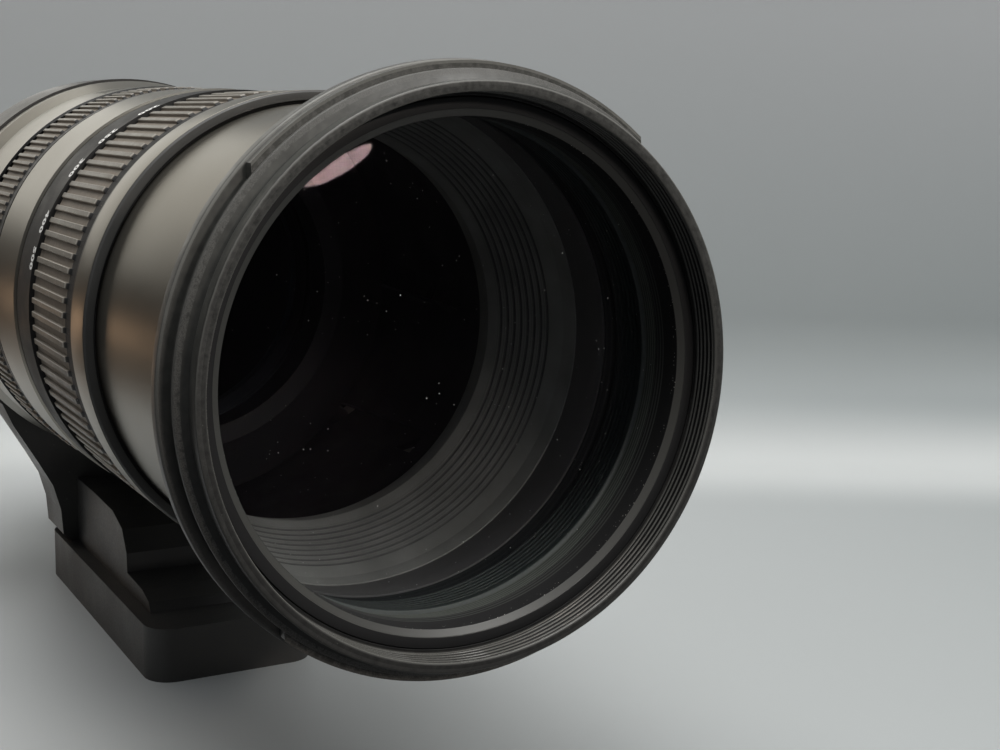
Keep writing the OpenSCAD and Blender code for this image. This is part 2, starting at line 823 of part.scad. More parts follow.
module front_rollers() color("silver") {
    shoulder_w = 0.8;
    shoulder_r = roller_r + shoulder_w;
    // flat outer end, clear of the barrel's round wall
    end_r = sqrt(pow(barrel_ri, 2) - pow(shoulder_r, 2)) - eps;
    for (a = three) {
        radial_pin(front_roller_x, a + front_phi, cell_ro + 2 * run_gap, end_r, roller_r);
        radial_pin(front_roller_x, a + front_phi, cam_ro + run_gap, end_r, shoulder_r);
    }
}

// Front rim: filter thread, lip, groove, scuffed ridge, hood bayonet flange and tail
module front_rim() color("#333333") {
    ridge_l = 1.2;
    ridge_back = 4.2;
    ridge_slope = 0.6;
    groove_step = 1.2;
    groove_w = 1.2;
    shoulder_step = 2.7;
    tail_step = 1.6;
    tail_flare = 0.6;
    lip_slope = 0.4;
    lip_break = 0.2;
    tab_step = 0.5;
    flange_x = lens_l - flange_back;
    ridge_x = lens_l - ridge_back;
    ridge_rear = ridge_x - ridge_l;
    lip_r = thread_r + lip_w;
    ridge_r = thread_r + ridge_w;
    flange_r = thread_r + flange_w;
    groove_r = thread_r + groove_step;
    shoulder_r = thread_r + shoulder_step;
    tail_r = barrel_r + tail_step;
    spin([[thread_r, lens_l], [thread_r, lens_l - thread_depth],
        [retainer_r, lens_l - thread_depth], [retainer_r, barrel_x],
        [barrel_r + pin_play, barrel_x], [barrel_r + pin_play, rim_back], [tail_r, rim_back], [tail_r + tail_flare, flange_x - flange_t],
        [flange_r - bevel, flange_x - flange_t], [flange_r, flange_x - flange_t + bevel],
        [flange_r, flange_x - bevel], [flange_r - bevel, flange_x], [shoulder_r, flange_x],
        [shoulder_r, ridge_rear], [ridge_r, ridge_rear + bevel], [ridge_r, ridge_x],
        [groove_r, ridge_x + ridge_slope], [groove_r, ridge_x + groove_w],
        [lip_r, ridge_x + groove_w + lip_slope], [lip_r, lens_l - lip_break],
        [lip_r - lip_break, lens_l]]);
    for (a = [90, -90])
        sector(flange_x - eps, ridge_rear + bevel, shoulder_r - eps, flange_r - tab_step,
            a - tab_span / 2, tab_span);
}

// Conical ring screwed in on the front glass
module retaining_ring() color("#262626") {
    retainer_edge = 0.6;
    top = lens_l - thread_depth;
    spin([[glass_lap_r, barrel_x + retainer_edge], [retainer_r - retainer_edge, top],
        [retainer_r, top], [retainer_r, barrel_x], [glass_lap_r, barrel_x]]);
}

module front_element() color([0.2, 0.3, 0.35, 0.5])
    glass(glass_back, glass_vertex - glass_back, glass_r, glass_curve_r);

// Cell of the front group, with fine light-trap grooves between the two glasses
module front_cell() color("#2f302e") {
    seat_w = 0.7;
    trap_t = 0.6;
    trap_pitch = 1.5;
    trap_h = 0.4;
    trap_first = 2.4;
    second_pocket = 6;
    difference() {
        ring(cell_back, barrel_x, glass_r - seat_w, barrel_ri);
        ring(glass_back, barrel_x + over, 0, glass_r);
        for (i = [0:5])
            ring(glass_back - trap_first - trap_t - i * trap_pitch,
                glass_back - trap_first - i * trap_pitch, 0, glass_r - seat_w + trap_h);
        ring(second_back, second_back + second_pocket, 0, second_r);
    }
}

module second_element() color([0.3, 0.25, 0.3, 0.5])
    glass(second_back, second_t, second_r, second_curve_r);

// Stepped light baffle behind the front group
module light_baffle() color("#8d8f8e") {
    groove_n = 9;
    groove_h = 0.8;
    wide_step = 1.2;
    narrow_step = 8.2;
    wide_r = barrel_ri - wide_step;
    narrow_r = barrel_ri - narrow_step;
    baffle_step = 0.6;
    baffle_foot = 0.4;
    base_gap = 2;
    base_x = guide_x + base_gap;
    land = 3;
    first_r = wide_r - baffle_step;
    pitch = (cell_back - base_x - 2 * land) / groove_n;
    spin([[barrel_ri, base_x], [barrel_ri, cell_back], [wide_r, cell_back],
        [first_r, cell_back - land],
        for (i = [0:groove_n - 1], s = [0, 0.3, 0.35, 0.95])
            [first_r - (wide_r - narrow_r) * (i + s) / groove_n
                + (s == 0.3 || s == 0.35 ? groove_h : 0),
                cell_back - land - (i + s) * pitch],
        [narrow_r - baffle_foot, base_x]]);
}

// Ring left outside each round glass, out to its cell's rim
variator_ring_w = 11.4;
compensator_ring_w = 12.4;
focus_ring_w = 15.4;
variator_glass_r = cell_ro - variator_ring_w;
compensator_glass_r = cell_ro - compensator_ring_w;
focus_glass_r = cell_ro - focus_ring_w;
module variator_cell() color("#2a2a2a") inner_cell(variator_x, variator_glass_r, variator_phi);

module variator_glass() color([0.55, 0.5, 0.65, 0.5]) {
    variator_curve_r = 80;
    inner_glass(variator_x, variator_glass_r, variator_curve_r);
}

module compensator_cell() color("#2a2a2a")
    inner_cell(compensator_x, compensator_glass_r, compensator_phi);

module compensator_glass() color([0.55, 0.6, 0.65, 0.5]) {
    compensator_curve_r = 70;
    inner_glass(compensator_x, compensator_glass_r, compensator_curve_r);
}

module focus_cell() color("#2a2a2a") inner_cell(focus_cell_x, focus_glass_r, focus_phi);

module focus_glass() color([0.55, 0.6, 0.65, 0.5]) {
    focus_curve_r = 65;
    inner_glass(focus_cell_x, focus_glass_r, focus_curve_r);
}

module focus_ring() color("#2c2c2c") {
    stop_h = 0.5;
    key_tip = 1;
    ring_front = satin_back - run_gap;
    ring(key_back, ring_front, focus_ri, focus_ro);
    ring(focus_x, ring_front, focus_ri, focus_ro + stop_h);
    for (a = [0, 180])
        radial_block(key_back, key_back + key_l, a, cam_ro + key_tip, focus_ri + focus_wall / 2,
            key_w);
}

module focus_grip() color("#242424")
    grip(window_x + run_gap, focus_x, focus_ro + grip_t, rib_h, focus_ribs, focus_ro + pin_play);

module distance_scale() color("black") {
    scale_lap = 1;
    ring(window_back_x - scale_lap, window_back_x + window_l + scale_lap, focus_ro,
        focus_ro + scale_t);
}

module iris_base() color("#3a3a3a")
    difference() {
        union() {
            ring(iris_back, iris_back + iris_plate_t, iris_r + iris_lip, guide_ri);
            ring(iris_back, iris_cup_x, iris_cup_ri, guide_ri);
        }
        for (i = [0:blade_count - 1])
            rotate([i * 360 / blade_count, 0, 0]) translate([iris_back - over, pivot_ring_r, 0])
                rotate([0, 90, 0])
                    cylinder(h = iris_plate_t + 2 * over, r = pivot_r + pin_play);
    }

// Where a blade's drive pin stands, seen in the iris ring, when the blade has turned by t
function turned(p, c, t) = c + [(p[0] - c[0]) * cos(t) - (p[1] - c[1]) * sin(t),
    (p[0] - c[0]) * sin(t) + (p[1] - c[1]) * cos(t)];
pivot = [pivot_ring_r, 0];
drive = pivot_ring_r * [cos(drive_phi), sin(drive_phi)];
function drive_path(t) = turned(turned(drive, pivot, t), [0, 0], -t * ring_ratio);

module iris_slot() {
    w = drive_r + pin_play * 2;
    path = [for (t = [-2:2:blade_turn + 2]) drive_path(t)];
    n = len(path) - 1;
    side = [for (i = [0:n]) let (d = path[min(i + 1, n)] - path[max(i - 1, 0)])
        w * [-d[1], d[0]] / norm(d)];
    along(iris_ring_x - iris_ring_t - over, iris_ring_x + over)
        polygon([for (i = [0:n]) path[i] + side[i], for (i = [n:-1:0]) path[i] - side[i]]);
}

module iris_ring() color("#777777")
    difference() {
        ring(iris_ring_x - iris_ring_t, iris_ring_x, iris_r + iris_lip, iris_cup_ri - run_gap);
        for (i = [0:blade_count - 1])
            rotate([i * 360 / blade_count, 0, 0]) iris_slot();
    }

// Sickle-shaped blade with its pivot and drive pins, each blade one level higher
module iris_blade(i) {
    blade_w = 4.5;
    blade_span = 112;
    boss_r = 2;
    ear_r = 1;
    ear_phi = 14;
    blade_ro = iris_r + blade_w;
    x = iris_first + i * blade_pitch;
    color("#1c1c1c") rotate([i * 360 / blade_count, 0, 0]) {
        along(x, x + blade_t) {
            polygon([for (a = [0:4:blade_span]) blade_ro * [cos(a), sin(a)],
                for (a = [blade_span:-4:0]) iris_r * [cos(a), sin(a)]]);
            translate(pivot) circle(r = boss_r);
            polygon([[iris_r, 0], pivot - [ear_r, boss_r], drive + [ear_r, -ear_r],
                drive + [ear_r, ear_r], blade_ro * [cos(ear_phi), sin(ear_phi)]]);
        }
        translate([iris_back, pivot_ring_r, 0]) rotate([0, 90, 0])
            cylinder(h = x + blade_t - iris_back, r = pivot_r);
        translate([x, drive[0], drive[1]]) rotate([0, 90, 0])
            cylinder(h = iris_ring_x - x, r = drive_r);
    }
}

module iris_blade_1() iris_blade(0);
module iris_blade_2() iris_blade(1);
module iris_blade_3() iris_blade(2);
module iris_blade_4() iris_blade(3);
module iris_blade_5() iris_blade(4);
module iris_blade_6() iris_blade(5);
module iris_blade_7() iris_blade(6);

// Tripod collar: band split at the axis's height, foot below, hinge on +Y, clamp on -Y
collar_ri = seat_r + run_gap;
collar_r = collar_ri + collar_wall;
collar_mid_r = (collar_ri + collar_r) / 2;
split_gap = 0.3;
clamp_lug_h = 6;
clamp_lug_w = 12;
clamp_lug_inset = 3;
clamp_lug_end = 6;
screw_room = 1.5;
screw_x = collar_back + collar_w / 2;
screw_y = -collar_r - knob_r - screw_room;
screw_r = 2.4;
screw_bite = 4;
hinge_r = 3.2;
hinge_y = collar_r + hinge_r;
hinge_pin_r = 1.25;
knuckle_l = 6;
knuckle_h = 7;

module half_band(sign)
    difference() {
        ring(collar_back, collar_x, collar_ri, collar_r);
        translate([collar_back - over, -2 * collar_r,
                sign > 0 ? split_gap / 2 - 4 * collar_r : -split_gap / 2])
            cube([collar_w + 2 * over, 4 * collar_r, 4 * collar_r]);
    }

// Clamp lug on the -Y side, between two heights
module clamp_lug(z0, z1)
    difference() {
        translate([collar_back + clamp_lug_inset, screw_y - clamp_lug_end, z0])
            cube([clamp_lug_w, clamp_lug_end - screw_y, z1 - z0]);
        ring(collar_back - over, collar_x + over, 0, collar_mid_r);
    }

// Hinge knuckle on the +Y side
module knuckle(x0, x1, sign)
    difference() {
        union() {
            translate([x0, hinge_y, 0]) rotate([0, 90, 0]) cylinder(h = x1 - x0, r = hinge_r);
            translate([x0, collar_ri, sign > 0 ? 0 : -knuckle_h])
                cube([x1 - x0, hinge_y - collar_ri, knuckle_h]);
        }
        translate([x0 - over, hinge_y, 0]) rotate([0, 90, 0])
            cylinder(h = x1 - x0 + 2 * over, r = hinge_pin_r + pin_play);
        ring(collar_back - over, collar_x + over, 0, collar_mid_r);
    }

// Neck: length along the axis, and its flared outline as [share of the half width, share of the
// neck's height below the collar]
neck_l = 17;
neck_shares = [[0.896, 0.66], [1, 0.603], [1.026, 0.416], [1.12, 0.232], [1.295, 0.057],
    [1.606, -0.235], [1.762, -0.433]];
function neck_z(share) = -collar_r - share * neck_h;
neck_side = [for (p = neck_shares) [p[0] * neck_half, neck_z(p[1])]];
// Terraces in front of the neck, as [share of the length left ahead of it, share of its height]
terrace_inset = 3.5;
terrace_bite = 0.17;
terrace_shares = [[0, 0.19], [0.2366, 0.19], [0.4451, 0.204], [0.55, 0.275], [0.5939, 0.416],
    [0.6, 0.544], [0.7585, 0.558], [0.8244, 0.6], [0.8524, 0.7], [0.8549, 0.756],
    [0.9415, 0.756], [0.9415, 0.813], [0, 0.813]];
terrace_back = collar_back + neck_l - terrace_bite;
// Foot plate
foot_drop = collar_r + neck_h;
foot_x = collar_back + foot_l;
corner_r = 6;

module collar_lower() color("#303030")
    difference() {
        union() {
            half_band(-1);
            clamp_lug(-clamp_lug_h - split_gap / 2, -split_gap / 2);
            knuckle(collar_back, collar_back + knuckle_l - split_gap, -1);
            knuckle(collar_x - knuckle_l + split_gap, collar_x, -1);
            difference() {
                along(collar_back, collar_back + neck_l)
                    polygon([for (p = neck_side) p,
                        for (i = [len(neck_side) - 1:-1:0]) [-neck_side[i][0], neck_side[i][1]]]);
                ring(collar_back - over, collar_x + over, 0, collar_ri);
            }
            translate([0, foot_w / 2 - terrace_inset, 0]) rotate([90, 0, 0])
                linear_extrude(height = foot_w - 2 * terrace_inset)
                    polygon([for (p = terrace_shares)
                        [terrace_back + p[0] * (foot_x - terrace_back), neck_z(p[1])]]);
            translate([0, 0, -foot_drop]) linear_extrude(height = foot_t) foot_outline();
        }
        bush_at(pin_play, over);
        translate([screw_x, screw_y, -clamp_lug_h - split_gap])
            cylinder(h = clamp_lug_h + over, r = screw_r + pin_play);
    }

// Rounded outline of the foot plate
module foot_outline() {
    translate([collar_back, corner_r - foot_w / 2]) square([foot_l, foot_w - 2 * corner_r]);
    translate([collar_back + corner_r, -foot_w / 2]) square([foot_l - 2 * corner_r, foot_w]);
    for (x = [collar_back + corner_r, foot_x - corner_r], s = [-1, 1])
        translate([x, s * (foot_w / 2 - corner_r)]) circle(r = corner_r);
}

// Threaded steel bush for the tripod screw, let into the foot
bush_x = collar_back + foot_l / 2;
bush_r = 5;
bush_head_r = 7;
bush_head_t = 1.5;
bush_end = 2;
module bush_at(play, below)
    translate([bush_x, 0, -foot_drop - below]) {
        cylinder(h = socket_l + bush_end + below, r = bush_r + play);
        cylinder(h = bush_head_t + below, r = bush_head_r + play);
    }

module foot_bush() color("silver")
    difference() {
        bush_at(0, 0);
        translate([bush_x, 0, -foot_drop - over]) cylinder(h = socket_l + over, r = socket_r);
    }

module collar_upper() color("#303030")
    difference() {
        union() {
            half_band(1);
            clamp_lug(split_gap / 2, clamp_lug_h + split_gap / 2);
            knuckle(collar_back + knuckle_l, collar_x - knuckle_l, 1);
        }
        translate([screw_x, screw_y, -over]) cylinder(h = screw_bite + bevel + over,
            r = screw_r + run_gap);
    }

module hinge_pin() color("silver") {
    pin_proud = 0.5;
    translate([collar_back - pin_proud, hinge_y, 0]) rotate([0, 90, 0])
        cylinder(h = collar_w + 2 * pin_proud, r = hinge_pin_r);
}

// Clamp screw with its knob below the lugs
knob_h = 11;
knob_top = clamp_lug_h + split_gap / 2 + run_gap;
module collar_screw() color("silver") {
    knob_grip_l = 9;
    translate([screw_x, screw_y, -knob_top - knob_grip_l])
        cylinder(h = knob_grip_l + knob_top + screw_bite, r = screw_r);
}

module collar_knob() color("#202020") {
    knob_rib = 0.7;
    knob_ribs = 24;
    dish_w = 3;
    dish_t = 1;
    translate([screw_x, screw_y, -knob_top - knob_h]) difference() {
        linear_extrude(height = knob_h) polygon(grip_outline(knob_r, knob_rib, knob_ribs));
        translate([0, 0, -over]) cylinder(h = dish_t + over, r = knob_r - dish_w);
        translate([0, 0, -over]) cylinder(h = knob_h + 2 * over, r = screw_r);
    }
}

mount_bayonet();
mount_screws();
mount_baffle();
contact_block();
contact_pins();
rear_barrel();
main_barrel();
window_barrel();
distance_window();
switch_panel();
guide_barrel();
main_board();
motor_stator();
rear_cell();
rear_glass();
iris_base();
zoom_ring();
zoom_grip();
nose_ring();
dust_seal();
cam_barrel();
inner_barrel();
front_rim();
retaining_ring();
front_element();
second_element();
front_cell();
light_baffle();
front_rollers();
variator_cell();
variator_glass();
compensator_cell();
compensator_glass();
focus_ring();
focus_grip();
distance_scale();
motor_rotor();
focus_cam();
focus_cell();
focus_glass();
stabiliser_carriage();
stabiliser_cell();
stabiliser_glass();
iris_ring();
iris_blade_1();
iris_blade_2();
iris_blade_3();
iris_blade_4();
iris_blade_5();
iris_blade_6();
iris_blade_7();
collar_lower();
foot_bush();
collar_upper();
hinge_pin();
collar_screw();
collar_knob();
af_switch();
stabiliser_switch();
zoom_lock();
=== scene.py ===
import math
import random
import bmesh
import bpy
from mathutils import Matrix, Quaternion, Vector


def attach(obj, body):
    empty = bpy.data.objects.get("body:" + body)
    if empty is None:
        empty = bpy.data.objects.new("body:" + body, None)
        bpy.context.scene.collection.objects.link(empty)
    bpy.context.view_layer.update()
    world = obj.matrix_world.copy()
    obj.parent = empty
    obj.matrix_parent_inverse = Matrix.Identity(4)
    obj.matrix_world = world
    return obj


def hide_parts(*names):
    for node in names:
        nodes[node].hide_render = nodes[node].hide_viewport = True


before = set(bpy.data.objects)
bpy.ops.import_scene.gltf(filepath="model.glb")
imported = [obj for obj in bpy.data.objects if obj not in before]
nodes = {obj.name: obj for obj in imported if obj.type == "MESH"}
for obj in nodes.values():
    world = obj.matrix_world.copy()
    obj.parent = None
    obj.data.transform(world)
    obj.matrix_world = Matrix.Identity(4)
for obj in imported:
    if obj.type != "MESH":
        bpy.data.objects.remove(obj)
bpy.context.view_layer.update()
mm = 0.001
print("frame loaded:", len(nodes), "nodes")


# Small helpers for shader trees: a node joins the tree of the sockets that feed it

def newNode(kind, *sockets):
    tree = next(socket.id_data for socket in sockets if isinstance(socket, bpy.types.NodeSocket))
    return tree.nodes.new("ShaderNode" + kind)


def feed(socket, value):
    if isinstance(value, bpy.types.NodeSocket):
        socket.id_data.links.new(value, socket)
    elif value is not None:
        socket.default_value = (*value, 1.0) if isinstance(value, tuple) else value


def fill(node, **values):
    # an underscore stands for a space in an input's name
    for label, value in values.items():
        feed(node.inputs[label.replace("_", " ")], value)
    return node.outputs


def mathStep(operation, first, second=None):
    node = newNode("Math", first, second)
    node.operation = operation
    feed(node.inputs[0], first)
    feed(node.inputs[1], second)
    return node.outputs[0]


def times(first, *others):
    for other in others:
        first = mathStep("MULTIPLY", first, other)
    return first


def above(value, limit):
    return mathStep("GREATER_THAN", value, limit)


def below(value, limit):
    return mathStep("LESS_THAN", value, limit)


def addHeights(*pairs):
    parts = [times(socket, share) for socket, share in pairs]
    total = parts[0]
    for part in parts[1:]:
        total = mathStep("ADD", total, part)
    return total


def spread(value, low, high, toLow=0.0, toHigh=1.0, smooth=False):
    node = newNode("MapRange", value)
    node.interpolation_type = "SMOOTHSTEP" if smooth else "LINEAR"
    return fill(node, Value=value, From_Min=low, From_Max=high, To_Min=toLow,
                To_Max=toHigh)["Result"]


def blendColour(share, first, second):
    node = newNode("Mix", share)
    node.data_type = "RGBA"
    for index, value in ((0, share), (6, first), (7, second)):
        feed(node.inputs[index], value)
    return node.outputs[2]


def coat(colour, *layers):
    # lays colours over a colour: each has its mask, its colour and, if not full, its share
    for mask, top, *share in layers:
        colour = blendColour(times(mask, *share), colour, top)
    return colour


def joinVector(x, y, z):
    return fill(newNode("CombineXYZ", x, y, z), X=x, Y=y, Z=z)[0]


def splitVector(vector):
    return fill(newNode("SeparateXYZ", vector), Vector=vector)


def scaleVector(vector, scale):
    node = newNode("VectorMath", vector)
    node.operation = "SCALE"
    feed(node.inputs[0], vector)
    return fill(node, Scale=scale)[0]


def noiseOf(vector, detail=2.0, rough=0.5):
    return fill(newNode("TexNoise", vector), Vector=vector, Scale=1.0, Detail=detail,
                Roughness=rough)["Fac"]


def place(tree, group, **values):
    node = tree.nodes.new("ShaderNodeGroup")
    node.node_tree = group
    return fill(node, **values)


def effect(tree, group, **values):
    return place(tree, group, **values)[0]


# Effects that the finishes share. Lengths are in mm

def makeEffect(name, build, outputs=("Mask",), **wanted):
    tree = bpy.data.node_groups.new(name, "ShaderNodeTree")
    for label, value in wanted.items():
        socket = tree.interface.new_socket(name=label, in_out="INPUT",
                                           socket_type="NodeSocketFloat")
        socket.default_value = value
    for label in outputs:
        kind = "NodeSocketVector" if label == "Place" else "NodeSocketFloat"
        tree.interface.new_socket(name=label, in_out="OUTPUT", socket_type=kind)
    results = build(tree, tree.nodes.new("NodeGroupInput").outputs)
    for socket, value in zip(tree.nodes.new("NodeGroupOutput").inputs, results):
        feed(socket, value)
    return tree


def placeParts(tree, entry):
    # where a point is: station along the lens, radius and angle about its axis
    where = scaleVector(tree.nodes.new("ShaderNodeTexCoord").outputs["Object"], 1.0 / mm)
    x, y, z = splitVector(where)
    radius = mathStep("SQRT", mathStep("ADD", times(y, y), times(z, z)))
    return x, radius, mathStep("ARCTAN2", z, y), where


axisPlace = makeEffect("axisPlace", placeParts, ("Station", "Radius", "Angle", "Place"))


def placeInSteps(tree, size):
    # the point's place, counted in steps of the given size
    return scaleVector(place(tree, axisPlace)["Place"], mathStep("DIVIDE", 1.0, size))


def lineParts(tree, entry):
    # fine lines that run round the axis, as a lathe leaves them
    spot = place(tree, axisPlace)
    along, out = (times(spot[label], entry["Lines"]) for label in ("Station", "Radius"))
    around = times(mathStep("SINE", spot["Angle"]), entry["Streak"])
    return [noiseOf(joinVector(along, around, out))]


def cloudParts(tree, entry):
    # soft uneven patches
    steps = placeInSteps(tree, entry["Size"])
    moved = newNode("VectorMath", steps)
    feed(moved.inputs[0], steps)
    feed(moved.inputs[1], joinVector(entry["Shift"], 0.0, entry["Shift"]))
    return [spread(noiseOf(moved.outputs[0], 4.0), entry["Low"], entry["High"])]


def grainParts(tree, entry):
    # fine even grain of lacquer, rubber or a casting
    return [noiseOf(placeInSteps(tree, entry["Size"]), 2.0, 0.6)]


def dustParts(tree, entry):
    # scattered specks: one in each cell of a loose grid, some cells left empty
    steps = placeInSteps(tree, entry["Spacing"])
    cells = fill(newNode("TexVoronoi", steps), Vector=steps, Scale=1.0)
    draw = fill(newNode("SeparateColor", steps), Color=cells["Color"])[0]
    return [times(below(cells["Distance"], entry["Dot"]), below(draw, entry["Share"]))]


def scratchParts(tree, entry):
    # thin marks along the lens and round it
    spot = place(tree, axisPlace)
    arc = times(spot["Angle"], spot["Radius"])
    level = mathStep("SUBTRACT", 0.86, times(entry["Share"], 0.3))
    marks = []
    for first, second, layer in (("Long", "Fine", 3.0), ("Fine", "Long", 8.0)):
        u = mathStep("DIVIDE", spot["Station"], entry[first])
        v = mathStep("DIVIDE", arc, entry[second])
        marks.append(spread(noiseOf(joinVector(u, v, layer), 1.0), level,
                            mathStep("ADD", level, 0.05)))
    return [mathStep("MAXIMUM", *marks)]


def bandParts(tree, entry):
    # one where a value lies between two limits, with a soft and ragged edge
    rough = mathStep("SUBTRACT", noiseOf(place(tree, axisPlace)["Place"], 4.0, 0.65), 0.5)
    value = mathStep("ADD", entry["Value"], times(rough, entry["Ragged"]))
    return [times(*(spread(value, mathStep("SUBTRACT", entry[label], entry["Soft"]),
                           mathStep("ADD", entry[label], entry["Soft"]), start, 1.0 - start)
                    for label, start in (("Low", 0.0), ("High", 1.0))))]


turnedLines = makeEffect("turnedLines", lineParts, ("Height",), Lines=8.0, Streak=3.0)
clouds = makeEffect("clouds", cloudParts, Size=20.0, Low=0.3, High=0.7, Shift=0.0)
grain = makeEffect("grain", grainParts, ("Height",), Size=0.3)
dust = makeEffect("dust", dustParts, Spacing=2.0, Dot=0.08, Share=0.3)
scratches = makeEffect("scratches", scratchParts, Fine=0.12, Long=9.0, Share=0.3)
wornBand = makeEffect("wornBand", bandParts, Value=0.0, Low=0.0, High=1.0, Soft=0.1, Ragged=0.0)


def startFinish(name, **constants):
    material = bpy.data.materials.new(name)
    material.use_nodes = True
    tree = material.node_tree
    tree.nodes.clear()
    shader = tree.nodes.new("ShaderNodeBsdfPrincipled")
    output = tree.nodes.new("ShaderNodeOutputMaterial")
    shader.name, output.name = "shader", "output"
    feed(output.inputs[0], fill(shader, **constants)[0])
    return material, tree


def closeFinish(material, colour, rough, height, strength, depth=0.03):
    bump = fill(newNode("Bump", height), Strength=strength, Distance=depth * mm, Height=height)
    fill(material.node_tree.nodes["shader"], Base_Color=colour, Roughness=rough, Normal=bump[0])
    return material


def letThrough(material, share, tint=(1.0, 1.0, 1.0)):
    # the material is clear where the share is one
    shader, output = (material.node_tree.nodes[name] for name in ("shader", "output"))
    clear = fill(newNode("BsdfTransparent", share), Color=tint)
    mixed = newNode("MixShader", share)
    for socket, value in zip(mixed.inputs, (share, shader.outputs[0], clear[0])):
        feed(socket, value)
    feed(output.inputs[0], mixed.outputs[0])
    return material


# Finishes of the lens

satinValues = {"dark": (0.178, 0.169, 0.146), "light": (0.206, 0.195, 0.168), "metallic": 0.85,
               "roughLow": 0.31, "roughHigh": 0.37, "marks": (0.33, 0.32, 0.29),
               "seam": (96.1, 97.2), "seamColour": (0.012, 0.012, 0.012)}


def satinFinish(values):
    # black anodised aluminium with a warm sheen, hairline turned
    material, tree = startFinish("satinAluminium", Metallic=values["metallic"])
    start, end = values["seam"]
    lines = effect(tree, turnedLines, Lines=14.0, Streak=2.0)
    seam = effect(tree, wornBand, Value=place(tree, axisPlace)["Station"], Low=start, High=end)
    patches = effect(tree, clouds, Size=14.0, Low=0.25, High=0.75)
    marks = effect(tree, scratches, Fine=0.1, Long=7.0, Share=0.25)
    specks = effect(tree, dust, Spacing=1.7, Dot=0.06, Share=0.22)
    colour = coat(blendColour(patches, values["dark"], values["light"]),
                  (marks, values["marks"], 0.35), (specks, values["marks"], 0.5),
                  (seam, values["seamColour"]))
    rough = spread(addHeights((lines, 0.5), (patches, 0.5)), 0.2, 0.8, values["roughLow"],
                   values["roughHigh"])
    height = addHeights((lines, 1.0), (marks, -0.4), (specks, 0.8))
    return closeFinish(material, colour, rough, height, 0.12)


blackValues = {"dark": (0.016, 0.0162, 0.017), "light": (0.03, 0.03, 0.03), "roughLow": 0.42,
               "roughHigh": 0.62, "grain": 0.22, "worn": (0.16, 0.158, 0.15)}


def blackFinish(name, values):
    # matt black lacquer or moulding, which may turn greyer ahead of a station
    material, tree = startFinish(name)
    fine = effect(tree, grain, Size=values["grain"])
    patches = effect(tree, clouds, Size=9.0)
    specks = effect(tree, dust, Spacing=1.3, Dot=0.07, Share=0.25)
    marks = effect(tree, scratches, Fine=0.09, Long=5.0, Share=0.2)
    colour = blendColour(patches, values["dark"], values["light"])
    if "ahead" in values:
        colour = coat(colour, (above(place(tree, axisPlace)["Station"], values["aheadFrom"]),
                               values["ahead"]))
    colour = coat(colour, (marks, values["worn"], 0.4), (specks, values["worn"], 0.6))
    rough = spread(addHeights((fine, 0.4), (patches, 0.6)), 0.25, 0.75, values["roughLow"],
                   values["roughHigh"])
    return closeFinish(material, colour, rough, addHeights((fine, 1.0), (specks, 0.6)), 0.25)


# in the rim the dust colour also stands for painted light from above, the edge colour is a painted
# highlight, the crest colour a painted glint and the root colour painted shade
rimValues = {"dark": (0.009, 0.0095, 0.010), "light": (0.019, 0.019, 0.0185),
             "worn": (0.14, 0.138, 0.13), "crest": (0.12, 0.12, 0.11), "edge": (0.30, 0.30, 0.275),
             "dustAndTopLight": (0.085, 0.086, 0.078), "root": (0.003, 0.003, 0.003),
             "roughLow": 0.30, "roughHigh": 0.55,
             "ridge": (246.9, 248.1), "ridgeRadius": 45.0, "flange": (46.7, 48.0),
             "lip": (251.7, 252.3), "crestLine": (42.35, 42.56), "crestRadius": 42.62,
             "rootRadius": 43.4, "threadBack": 247.1, "outsideRadius": 43.5,
             "cleanFrom": (251.2, 252.0), "topLightHeights": (-15.0, 32.0),
             "edges": ((244.35, 244.62, 46.9), (246.8, 246.98, 46.6), (251.8, 251.97, 42.0))}


